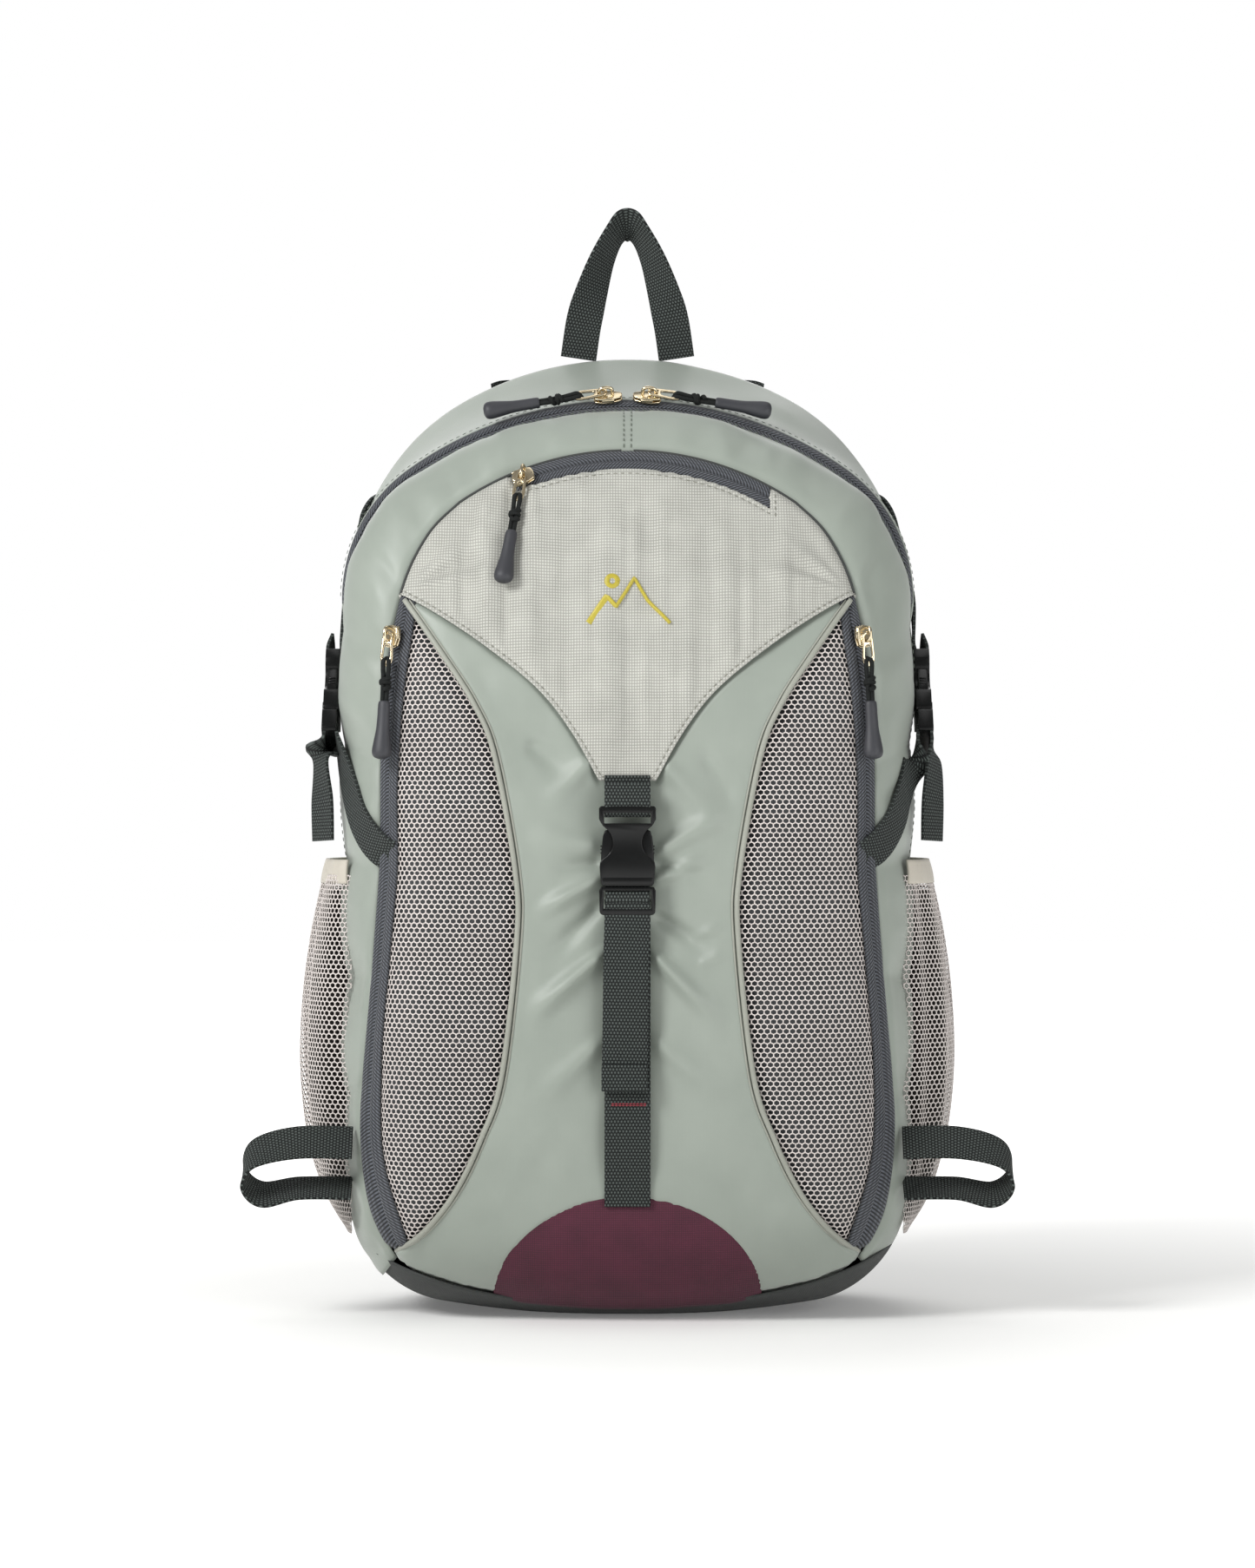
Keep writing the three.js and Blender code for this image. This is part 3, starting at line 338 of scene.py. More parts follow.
def webbingWeave(name, light, dark):
    # Narrow loom webbing: rows of ribs, each row's stitches set half a step from the last.
    material, tree, shader = startMaterial(name, 0.8, sheen=0.02, specular=0.25)
    u, v, where = uvMillimetres(tree)
    rowPitch, stitchPitch = 1.7, 1.75
    row = maths(tree, "FLOOR", maths(tree, "DIVIDE", v, rowPitch))
    shift = maths(tree, "MULTIPLY", row, math.pi)
    stitch = rising(tree, u, stitchPitch, shift)
    turned = maths(tree, "MULTIPLY", maths(tree, "DIVIDE", v, rowPitch), math.pi)
    rib = maths(tree, "ABSOLUTE", maths(tree, "SINE", turned))
    knit = maths(tree, "MULTIPLY", maths(tree, "POWER", stitch, 0.7), maths(tree, "POWER", rib, 0.8))
    fuzz = noiseNode(tree, where, 900.0)
    tone = maths(tree, "ADD", maths(tree, "MULTIPLY", maths(tree, "POWER", knit, 1.6), 0.95),
                 maths(tree, "MULTIPLY", fuzz, 0.12))
    tree.links.new(mixColour(tree, tone, srgb(dark), srgb(light)), shader.inputs["Base Color"])
    addBump(tree, shader, knit, 0.9, 0.0006)
    return material


def zipTape(name, light, dark):
    # Herringbone tape over a reversed coil: fine slanted ribs that meet down the middle.
    material, tree, shader = startMaterial(name, 0.7, sheen=0.06)
    u, v, _ = uvMillimetres(tree)
    slant = maths(tree, "MULTIPLY", maths(tree, "ABSOLUTE", u), 1.1)
    ribs = rising(tree, maths(tree, "ADD", v, slant), 1.9)
    threads = rising(tree, u, 1.6)
    cloth = maths(tree, "MULTIPLY", ribs, maths(tree, "ADD", maths(tree, "MULTIPLY", threads, 0.5), 0.5))
    tree.links.new(mixColour(tree, cloth, srgb(dark), srgb(light)), shader.inputs["Base Color"])
    addBump(tree, shader, cloth, 0.8, 0.0006)
    return material


def knitMesh(name, light, dark):
    # Warp-knit polyester yarn around open holes.
    material, tree, shader = startMaterial(name, 0.75, sheen=0.3)
    where = addNode(tree, "ShaderNodeTexCoord")
    loops = addNode(tree, "ShaderNodeTexVoronoi", {"Scale": 1300.0}, {"Vector": where.outputs["Object"]})
    tone = maths(tree, "ADD", maths(tree, "MULTIPLY", loops.outputs[0], 0.9),
                 maths(tree, "MULTIPLY", noiseNode(tree, where, 30.0), 0.3))
    tree.links.new(mixColour(tree, tone, srgb(light), srgb(dark)), shader.inputs["Base Color"])
    addBump(tree, shader, loops.outputs[0], 0.5, 0.0003)
    return material


def moulded(name, colour, roughness, specular=0.5, grain=0.12):
    # Injection-moulded plastic or rubber with a fine spark-eroded grain.
    material, tree, shader = startMaterial(name, roughness, specular=specular)
    where = addNode(tree, "ShaderNodeTexCoord")
    speckle = noiseNode(tree, where, 2200.0, 2.0)
    smudge = noiseNode(tree, where, 90.0)
    tree.links.new(mixColour(tree, smudge, srgb(colour[0]), srgb(colour[1])), shader.inputs["Base Color"])
    addBump(tree, shader, speckle, grain, 0.0001)
    return material


def castMetal(name, light, dark, roughness):
    # Zinc casting with a pale gold plate: bright, with soft polishing marks.
    material, tree, shader = startMaterial(name, roughness, metallic=1.0)
    where = addNode(tree, "ShaderNodeTexCoord")
    marks = noiseNode(tree, where, 420.0, 4.0)
    tree.links.new(mixColour(tree, marks, srgb(dark), srgb(light)), shader.inputs["Base Color"])
    addBump(tree, shader, marks, 0.05, 0.0001)
    return material


def spacerKnit(name, light, dark):
    # Air mesh over foam: small round dimples in offset rows.
    material, tree, shader = startMaterial(name, 0.85, sheen=0.3)
    u, v, _ = uvMillimetres(tree)
    row = maths(tree, "FLOOR", maths(tree, "DIVIDE", v, 2.2))
    dimple = maths(tree, "MULTIPLY", rising(tree, u, 2.6, maths(tree, "MULTIPLY", row, math.pi)),
                   maths(tree, "ABSOLUTE", maths(tree, "SINE", maths(tree, "MULTIPLY", v, math.pi / 2.2))))
    tree.links.new(mixColour(tree, dimple, srgb(light), srgb(dark)), shader.inputs["Base Color"])
    addBump(tree, shader, maths(tree, "MULTIPLY", dimple, -1.0), 0.8, 0.0008)
    return material


materials = dict(
    sage=nylonTaffeta("sage_nylon_taffeta", "#959c93", "#868e85"),  # silky body cloth
    sageThreadAndShade=nylonTaffeta("sage_thread_and_painted_shade", "#697267", "#596157", 0.7, 0.1),  # thread on sage, darkened as painted shade of the stitch holes
    # squared texture on the yoke
    grey=gridWeave("grey_dobby_polyester", "#cfcfc7", "#7d7d77", 1.45, 1.55, 0.66),
    greyThreadAndShade=nylonTaffeta("grey_thread_and_painted_shade", "#8d8d83", "#77776e", 0.75, 0.1),  # thread on grey, darkened as painted shade of the stitch holes
    burgundy=gridWeave("burgundy_grid_nylon", "#602039", "#2b0d19", 1.15, 1.15),  # deep red grid at the foot
    charcoal=gridWeave("charcoal_pack_cloth", "#454846", "#2c2e2d", 0.8, 0.8),  # matt base cloth
    webbing=webbingWeave("charcoal_webbing", "#5a615e", "#020303"),  # coarse ribbed straps
    blackThread=nylonTaffeta("black_thread", "#55595a", "#3c3f40", 0.6, 0.1),  # strap stitching
    redThread=nylonTaffeta("red_thread", "#8e2f38", "#6e1f2a", 0.7, 0.1),  # the one red bar tack
    tape=zipTape("zip_tape_polyester", "#666a72", "#141517"),  # slanted ribs beside the zips
    mesh=knitMesh("taupe_warp_knit", "#e4ddd8", "#b9b0ac"),  # pale net yarn
    hem=nylonTaffeta("beige_elastic", "#c6c0b4", "#aea89b", 0.7, 0.2),  # smooth pocket rim
    lining=nylonTaffeta("charcoal_lining", "#45484a", "#36383a", 0.6, 0.2),  # dark behind the net
    pocketShadeSheet=nylonTaffeta("mauve_painted_shade_sheet", "#7b7475", "#67605f", 0.6, 0.1),  # painted shade: a mauve-grey sheet seen through the net, standing in for the shaded inside of the pocket
    piping=nylonTaffeta("grey_piping", "#a3a59b", "#84867c", 0.6, 0.1),  # raised pale edge
    plastic=moulded("black_acetal", ("#0a0b0b", "#101111"), 0.24, 0.28, 0.05),  # glossy black
    rubber=moulded("charcoal_soft_grip", ("#2a2b2f", "#34353a"), 0.55, grain=0.2),  # soft dull grips
    metal=castMetal("pale_gold_zinc", "#e6d9bd", "#c2b190", 0.2),  # pale gold glints
    foam=spacerKnit("charcoal_air_mesh", "#47494b", "#191a1b"),  # dimpled back and straps
    board=moulded("black_frame_board", ("#202122", "#2a2b2c"), 0.6),  # dull stiff sheet
    emblem=nylonTaffeta("mustard_satin_thread", "#c3b53a", "#94862a", 0.42, 0.3),  # shiny yellow stitching
)


def addPiece(name, mesh, material, body=None):
    piece = bpy.data.objects.new(name, mesh)
    bpy.context.scene.collection.objects.link(piece)
    mesh.materials.clear()
    mesh.materials.append(materials[material])
    mesh.polygons.foreach_set("use_smooth", [True] * len(mesh.polygons))
    if body:
        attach(piece, body)
    return piece


def meshFrom(bm, name):
    mesh = bpy.data.meshes.new(name)
    bm.to_mesh(mesh)
    bm.free()
    return mesh


def shapeCloth(mesh, mapping):
    # Lays a flat mesh over the bag: its X and Y, 0 to 1, go through the mapping, which also gives
    # the cloth's UV.
    count = len(mesh.vertices)
    flat = np.empty(count * 3)
    mesh.vertices.foreach_get("co", flat)
    flat = flat.reshape(-1, 3)
    points, cloth = mapping(flat[:, 0], flat[:, 1])
    mesh.vertices.foreach_set("co", toModel(points).ravel())
    corners = np.empty(len(mesh.loops), int)
    mesh.loops.foreach_get("vertex_index", corners)
    layer = mesh.uv_layers.new(name="cloth")
    layer.data.foreach_set("uv", (np.stack(cloth, 1)[corners] * 0.001).ravel())
    mesh.update()


def faceOutward(mesh, outward):
    # Turns the whole sheet over if its faces look the wrong way.
    face = mesh.polygons[len(mesh.polygons) // 2]
    if face.normal.dot(Vector(outward(face.center))) < 0:
        mesh.flip_normals()


def forward(centre):
    return 0, -1, 0


def flatSheet(name, across, along, mapping):
    bm = bmesh.new()
    bmesh.ops.create_grid(bm, x_segments=across, y_segments=along, size=0.5,
                          matrix=Matrix.Translation((0.5, 0.5, 0)))
    mesh = meshFrom(bm, name)
    shapeCloth(mesh, mapping)
    return mesh


def weld(mesh, distance, capped=True):
    # Joins the edges where a rolled-up sheet meets itself, and closes its ends.
    bm = bmesh.new()
    bm.from_mesh(mesh)
    bmesh.ops.remove_doubles(bm, verts=bm.verts, dist=distance)
    if capped:
        bmesh.ops.holes_fill(bm, edges=[e for e in bm.edges if e.is_boundary], sides=0)
    bmesh.ops.recalc_face_normals(bm, faces=bm.faces)
    bm.to_mesh(mesh)
    bm.free()


def foldWith(piece):
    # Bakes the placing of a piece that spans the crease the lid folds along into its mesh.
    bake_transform(piece)


def gridCloth(name, across, along, mapping, material, thickness=1.0, body=None, outward=None):
    mesh = flatSheet(name, across, along, mapping)
    middle = Vector((0, yShift * 0.001, bagForm["centreZ"] * 0.001))
    faceOutward(mesh, outward or (lambda centre: centre - middle))
    piece = addPiece(name, mesh, material, body)
    wall = piece.modifiers.new("cloth", "SOLIDIFY")
    wall.thickness = thickness * 0.001
    wall.offset = -1
    return piece


seams = dict(
    archTop=463.5, archRadius=157.0, archHalf=35.0,
    side=[(107, 417), (121, 384.5), (131, 325), (132, 245), (138, 165), (143, 105), (138, 60), (124, 31)],
    yoke=[(-122, 386), (-102, 375), (-75, 357), (-47, 334), (-29, 311), (-15, 286)],
    piping=[(-118, 382), (-97, 352), (-81, 327), (-70, 300), (-59, 240), (-58, 203), (-66, 131), (-77, 98),
            (-90, 71), (-106, 50), (-124, 35)],
    meshEdge=[(-113, 374), (-119, 332), (-122, 286), (-122, 240), (-126, 194), (-130, 148), (-131, 107),
              (-128, 80), (-117, 43)],
    moonWidth=72.0, moonHeight=60.0, moonZ=8.0, baseRise=22.0, baseHalf=124.0)
archCentre = seams["archTop"] - seams["archRadius"]
turns = np.radians(np.linspace(0, seams["archHalf"], 60))
archLine = np.stack([seams["archRadius"] * np.sin(turns),
                     archCentre + seams["archRadius"] * np.cos(turns)], 1)
sideLine = spline([archLine[-1], *seams["side"]], 160)
seamRight = np.concatenate([archLine, sideLine[1:]])
yokeLeft = spline(seams["yoke"], 60)
yokeLine = np.concatenate([yokeLeft, yokeLeft[::-1] * (-1, 1)])
pipingLeft = spline(seams["piping"], 120)
meshLeft = spline(seams["meshEdge"], 100)


def baseEdge(x):
    return seams["moonZ"] + seams["baseRise"] * (np.abs(x) / seams["baseHalf"]) ** 2.4


def atHeight(line, z):
    order = np.argsort(line[:, 1])
    return np.interp(z, line[order, 1], line[order, 0])


def evenly(line, count):
    step = runAlong(line)
    spread = np.linspace(0, step[-1], count)
    return np.stack([np.interp(spread, step, line[:, k]) for k in range(line.shape[1])], 1)


def lengthRows(steps, heights, steepest):
    # Length of cloth from the middle line to each step across, one row for each height.
    rows = []
    for height in heights:
        fall = np.minimum(np.abs(np.diff(frontY(steps, np.full_like(steps, height)))), steepest)
        run = np.concatenate([[0], np.cumsum(np.hypot(np.diff(steps), fall))])
        rows.append(run - np.interp(0, steps, run))
    return np.array(rows)


clothTable = lengthRows(np.linspace(-160, 160, 321), np.linspace(0, 480, 49), 6)


def clothLength(x, z):
    # Distance along the cloth from the middle line, at one height.
    row = np.clip(z / 10.0, 0, 47.999)
    i = row.astype(int)
    column = np.clip(x + 160, 0, 319.999)
    j = column.astype(int)
    a, b = row - i, column - j
    return ((clothTable[i, j] * (1 - b) + clothTable[i, j + 1] * b) * (1 - a)
            + (clothTable[i + 1, j] * (1 - b) + clothTable[i + 1, j + 1] * b) * a)


frontFolds = [  # start, end, width and height of each fold pulled in by the strap
    ((-13, 236), (-52, 214), 4.5, 2.6), ((-13, 196), (-54, 160), 5.0, 3.0), ((13, 234), (44, 246), 4.5, 2.4),
    ((13, 196), (50, 158), 5.0, 3.0), ((16, 248), (56, 272), 6.0, 2.0), ((-16, 252), (-54, 258), 7.0, 1.5),
    ((-14, 222), (-44, 190), 5.5, -2.2), ((14, 216), (46, 196), 5.0, -2.2),
    ((-14, 244), (-40, 240), 4.0, -1.8),
    ((14, 243), (44, 236), 4.0, -1.8), ((-52, 306), (-30, 290), 7.0, -1.6), ((40, 300), (58, 270), 6.0, -1.2),
    ((-16, 300), (-48, 268), 6.0, 1.4), ((18, 296), (50, 262), 6.0, 1.3), ((14, 150), (52, 120), 7.0, 1.4),
    ((-14, 150), (-54, 112), 7.0, 1.5), ((34, 204), (52, 211), 3.0, 0.9), ((38, 190), (53, 196), 3.0, 0.8)]


def frontFold(x, z):
    lift = sum(ridge(x, z, *fold) for fold in frontFolds)
    lift = lift + 0.5 * softNoise(x / 26 + 3, z / 34, 1) + 0.25 * softNoise(x / 11, z / 17 + 5, 2)
    strap = np.exp(-(x / 23.0) ** 2) * smooth(60, 100, z) * (1 - smooth(280, 300, z))
    return 1.85 * lift - 4.2 * strap


def hourglass(u, v):
    z = 9 + (383 - 9) * v
    half = np.abs(atHeight(pipingLeft, z))
    half = np.where(z < 35, 124 - (35 - z) * 0.5, half)
    x = (u * 2 - 1) * half
    z = np.maximum(z, baseEdge(x) - 3)
    edge = half * (1 - np.abs(u * 2 - 1))
    under = 1 - smooth(-1, 2.5, lineDistance(x, z, yokeLine) * np.sign(yokeHeight(x) - z))
    lift = frontFold(x, z) * smooth(0, 14, edge) - 1.5 * np.exp(-(edge / 2.4) ** 2) - 2.0 * under
    moon = 1 - np.hypot(x / seams["moonWidth"], (z - seams["moonZ"]) / seams["moonHeight"])
    lift = lift * smooth(0.04, -0.3, moon) - 1.6 * smooth(0.0, 0.04, moon)
    lift = lift - 2.4 * (1 - smooth(-0.5, 2.0, z - baseEdge(x)))  # its foot goes under the base
    return onFront(x, z, lift + 0.4), (clothLength(x, z), z)


def yokeHeight(x):
    # Lower edge of the yoke over x.
    order = np.argsort(yokeLine[:, 0])
    return np.interp(x, yokeLine[order, 0], yokeLine[order, 1])


def seamHeight(x):
    # The arch seam over x.
    ahead = np.abs(x)
    upper = seamRight[seamRight[:, 1] > 380]
    order = np.argsort(upper[:, 0])
    return np.interp(ahead, upper[order, 0], upper[order, 1])


pocketZip = dict(fromTurn=-23.5, toTurn=30.0, width=11.5)
pocketEndX = (seams["archRadius"] - pocketZip["width"] / 2) * math.sin(math.radians(pocketZip["toTurn"]))


def inPocketZip(x, z):
    turn = np.degrees(np.arctan2(x, z - archCentre))
    ends = smooth(pocketZip["fromTurn"] - 0.8, pocketZip["fromTurn"], turn) * (
        1 - smooth(pocketEndX, pocketEndX + 1.4, x))
    down = seams["archRadius"] - np.hypot(x, z - archCentre)
    return ends, down


def yokeFold(x, z):
    # Soft upright puckers, stronger towards the lower point, and folds that gather at the two corners.
    broad, narrow = softNoise(x / 10.5 + 2, z / 110, 3), softNoise(x / 4.6, z / 55 + 3, 4)
    upright = (1.8 * broad + 0.8 * narrow) * smooth(455, 395, z)
    lift = upright + 0.35 * softNoise(x / 30, z / 30, 5)
    for corner in (-1, 1):
        for turn, size in ((18, 1.5), (32, -1.1), (47, 1.3), (62, -0.9)):
            tip = (corner * (118 - 62 * math.cos(math.radians(turn))),
                   386 + 62 * math.sin(math.radians(turn)) * 0.75)
            lift = lift + ridge(x, z, (corner * 117, 387), tip, 3.6, size)
    for fold in (((-63, 446), (-58, 396), 5.0, -2.2), ((-52, 446), (-44, 392), 4.5, 1.6),
                 ((-74, 438), (-82, 398), 4.5, 1.5), ((-25, 446), (-20, 400), 5.0, 0.8)):
        lift = lift + ridge(x, z, *fold)
    return lift


def yokeLift(x, z):
    ends, down = inPocketZip(x, z)
    toSeam = np.minimum(lineDistance(x, z, seamRight), lineDistance(x, z, seamRight * (-1, 1)))
    toEdge = lineDistance(x, z, yokeLine)
    calm = smooth(0, 14, toSeam) * smooth(0, 10, toEdge)
    lift = yokeFold(x, z) * calm + 0.9 - 2.4 * np.exp(-(toSeam / 2.6) ** 2)
    lift = lift + 0.35 * np.exp(-(toEdge / 3.0) ** 2)
    lift = lift - 0.45 * np.exp(-((toEdge - 2.2) / 0.8) ** 2)  # the edge seam bites into the cloth
    lift = lift - 0.6 * ends * np.exp(-((down - pocketZip["width"] - 2.4) / 0.9) ** 2)
    inside = ends * (1 - smooth(pocketZip["width"] - 0.8, pocketZip["width"] + 0.4, down))
    return lift * (1 - inside) - 3.2 * inside


def yoke(u, v):
    x = (u * 2 - 1) * 121.3
    low, high = yokeHeight(x), seamHeight(x)
    z = low + (high - low) * v
    return onFront(x, z, yokeLift(x, z)), (clothLength(x, z), z)


def moon(u, v):
    x = (u * 2 - 1) * seams["moonWidth"] * 0.999
    low = baseEdge(x) - 2
    high = seams["moonZ"] + seams["moonHeight"] * np.sqrt(1 - (x / seams["moonWidth"]) ** 2)
    z = low + (high - low) * v
    inner = 1 - np.hypot(x / seams["moonWidth"], (z - seams["moonZ"]) / seams["moonHeight"])
    lift = 0.2 + 1.2 * smooth(0, 0.25, inner) + 0.3 * softNoise(x / 18, z / 14, 2)
    return onFront(x, z, lift), (clothLength(x, z), z)


def seamPath(count):
    # Left foot, over the crown, to the right foot.
    right = evenly(seamRight, count // 2 + 1)
    return np.concatenate([right[::-1] * (-1, 1), right[1:]])


gussetPath = seamPath(241)
gussetRun = runAlong(gussetPath)
zipHalf = 5.5
zipTilt = dict(front=2.4, rear=2.6)  # how far the slack walls lean the zip tape towards the front


def gussetFold(run, share):
    # Puckers square to the seam, deepest beside it, with a few long slack folds on the shoulders.
    pucker = softNoise(run / 12.0, share * 1.1, 1) * 2.3 + softNoise(run / 5.5, share * 2.0, 2) * 0.8
    slack = softNoise(run / 38.0 + 7, share * 0.8 + 3, 3) * 3.6
    return pucker * (0.35 + 0.65 * np.exp(-share * 2.4)) + slack * np.sin(math.pi * np.clip(share, 0, 1))


def gussetFront(u, v):
    t = u * (len(gussetPath) - 1)
    index = np.arange(len(gussetPath))
    x, z = np.interp(t, index, gussetPath[:, 0]), np.interp(t, index, gussetPath[:, 1])
    run = np.interp(t, index, gussetRun)
    angle = np.arctan2(z - bagForm["centreZ"], x)
    start = frontY(x, z)
    high = smooth(foldZ - 20, foldZ, z)
    stop = bagForm["zipY"] - zipHalf * high
    y = start + (stop - start) * v
    edge = (y - start)
    lift = gussetFold(run, v) * smooth(0, 10, edge) * smooth(0, 8, stop - y) * (0.55 + 0.45 * high)
    lift = lift + 1.8 * np.sin(math.pi * v) - 2.0 * np.exp(-(edge / 2.2) ** 2)
    lift = lift - 0.5 * np.exp(-((stop - y) / 1.6) ** 2)
    lift = lift - zipTilt["front"] * high * np.exp(-((stop - y) / 14) ** 2)
    lift = lift - 3.0 * (1 - smooth(14, 36, z))  # its ends go under the base
    return onWall(angle, y, lift), (run, y)


wallFrom, wallTo = math.radians(-53), math.radians(233)  # where the rear gusset ends, round the centre


def gussetRear(u, v):
    angle = wallFrom + (wallTo - wallFrom) * u
    z = wallRaw(angle, np.full_like(angle, 5.0))[:, 2]
    high = smooth(foldZ - 20, foldZ, z)
    start = bagForm["zipY"] + zipHalf * high
    y = start + (bagForm["backY"] - start) * v
    run = angle * 210
    slack = softNoise(run / 38.0 + 4, v * 1.6, 4) * 2.2 + softNoise(run / 15.0, v * 2.0 + 6, 5) * 0.8
    lift = slack * np.sin(math.pi * v) * 0.9 - 0.5 * np.exp(-((y - start) / 1.6) ** 2)
    lift = lift + zipTilt["rear"] * high * np.exp(-((y - start) / 22) ** 2)
    lift = lift - 1.2 * np.exp(-((bagForm["backY"] - y) / 2.5) ** 2)
    return onWall(angle, y, lift), (run, y)


tapeTurn = math.atan2(foldZ - bagForm["centreZ"] - 2, 153.0)
tapeEnds = [tapeTurn, math.pi - tapeTurn]


def zipHalfTape(front):
    side = -1 if front else 1

    def mapping(u, v):
        angle = math.radians(-9) + math.radians(198) * u
        angle = np.clip(angle, tapeEnds[0], tapeEnds[1])
        y = bagForm["zipY"] + side * (0.15 + (zipHalf + 0.6) * v)
        lift = -0.5 + 0.5 * np.sin(math.pi * np.clip(v * 1.6, 0, 1)) - 0.4 * smooth(0.75, 1, v)
        lift = lift + (-zipTilt["front"] if front else zipTilt["rear"]) * v
        return onWall(angle, y, lift), (side * (0.15 + v * 6) + 0 * u, angle * 230)
    return mapping


def baseSheet(u, v):
    angle = math.radians(-128.4) + math.radians(76.8) * u
    low, high = np.full_like(angle, -58.0), np.full_like(angle, 88.0)
    for turn in range(24):
        y = (low + high) / 2
        point = wallRaw(angle, y)
        inside = point[:, 2] < baseEdge(point[:, 0])
        high = np.where(inside, y, high)
        low = np.where(inside, low, y)
    start = high
    y = start + (bagForm["backY"] - start) * v
    point = wallRaw(angle, y)
    slack = softNoise(point[:, 0] / 22, y / 22, 1)
    lift = 0.9 + 0.5 * slack * smooth(0, 12, y - start) * smooth(3, 12, point[:, 2])
    made = onWall(angle, y, lift)
    made[:, 2] = np.maximum(made[:, 2], 0.0)
    return made, (angle * 260, y)


def makePanels():
    panel = gridCloth("front_panel_cloth", 130, 190, hourglass, "sage", 0.9, "bag", forward)
    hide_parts("front_panel")
    top = gridCloth("yoke_cloth", 180, 120, yoke, "grey", 0.8, None, forward)
    foldWith(top)
    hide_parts("yoke_lower", "yoke_upper")
    patch = gridCloth("base_accent_cloth", 90, 40, moon, "burgundy", 0.8, "bag", forward)
    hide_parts("base_accent")
    ahead = gridCloth("front_gusset_cloth", 420, 36, gussetFront, "sage", 0.9)
    foldWith(ahead)
    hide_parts("front_gusset")
    behind = gridCloth("rear_gusset_cloth", 420, 40, gussetRear, "sage", 0.9, "bag")
    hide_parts("rear_gusset", "side_panel_left", "side_panel_right")
    base = gridCloth("base_cloth", 150, 60, baseSheet, "charcoal", 0.9, "bag")
    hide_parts("base_panel")
    for front, node, body in ((True, "main_zip_tape_front", "lid"), (False, "main_zip_tape_rear", "bag")):
        tape = gridCloth(node + "_cloth", 300, 8, zipHalfTape(front), "tape", 0.6, body)
        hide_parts(node)
    print("panels done")


makePanels()


def tubeAlong(name, line, radius, material, body=None, sides=10, flatness=1.0, capped=True):
    # A round or oval cord along a line of points, with its own UV: round it, and along it.
    line = np.asarray(line, float)
    radius = np.broadcast_to(radius, len(line))
    tangent = unitRows(np.gradient(line, axis=0))
    aside = np.cross(tangent[0], (0.3, -1, 0.2))
    asides, ups = [], []
    for step in tangent:
        aside = aside - step * aside.dot(step)
        aside /= np.linalg.norm(aside)
        asides.append(aside)
        ups.append(np.cross(step, aside))
    asides, ups = np.array(asides), np.array(ups)
    run = runAlong(line)

    def mapping(u, v):
        i = np.rint(v * (len(line) - 1)).astype(int)
        turn = u * 2 * math.pi
        wide, high = np.cos(turn) * radius[i], np.sin(turn) * radius[i] * flatness
        offset = asides[i] * wide[:, None] + ups[i] * high[:, None]
        return line[i] + offset, (u * 2 * math.pi * radius[i], run[i])

    mesh = flatSheet(name, sides, len(line) - 1, mapping)
    weld(mesh, 1e-6, capped)
    return addPiece(name, mesh, material, body)


def stitchRow(name, paths, material, body=None, length=2.3, gap=1.6, width=0.6):
    # Short thread capsules along each path, which is a list of (point, outward) pairs.
    bm = bmesh.new()
    for points, outward in paths:
        run = runAlong(points)
        for start in np.arange(0, run[-1] - length, length + gap):
            ends = [np.array([np.interp(start + share * length, run, points[:, k]) for k in range(3)])
                    for share in (0, 1)]
            up = np.array([np.interp(start, run, outward[:, k]) for k in range(3)])
            along = ends[1] - ends[0]
            size = np.linalg.norm(along)
            along, up = Vector(along / size), Vector(up).normalized()
            across = along.cross(up).normalized()
            up = across.cross(along)
            pose = Matrix((along, across, up)).transposed().to_4x4()
            pose = Matrix.Translation(toModel((ends[0] + ends[1]) / 2)) @ pose @ Matrix.Diagonal(
                (size * 0.00054, width * 0.0005, width * 0.0004, 1))
            bmesh.ops.create_uvsphere(bm, u_segments=6, v_segments=4, radius=1,
                                      matrix=pose @ Matrix.Rotation(math.pi / 2, 4, "Y"))
    return addPiece(name, meshFrom(bm, name), material, body)


def frontPath(flat, lift):
    # A path on the front with its outward directions.
    flat = np.asarray(flat, float)
    low, high = onFront(flat[:, 0], flat[:, 1], lift), onFront(flat[:, 0], flat[:, 1], lift + 1)
    return low, high - low


def wallPath(angle, y, lift):
    low, high = onWall(angle, y, lift), onWall(angle, y, lift + 1)
    return low, high - low


netForm = dict(pitch=3.3, row=2.5, holeRim=0.33, yarn=0.5)  # knit holes, in millimetres


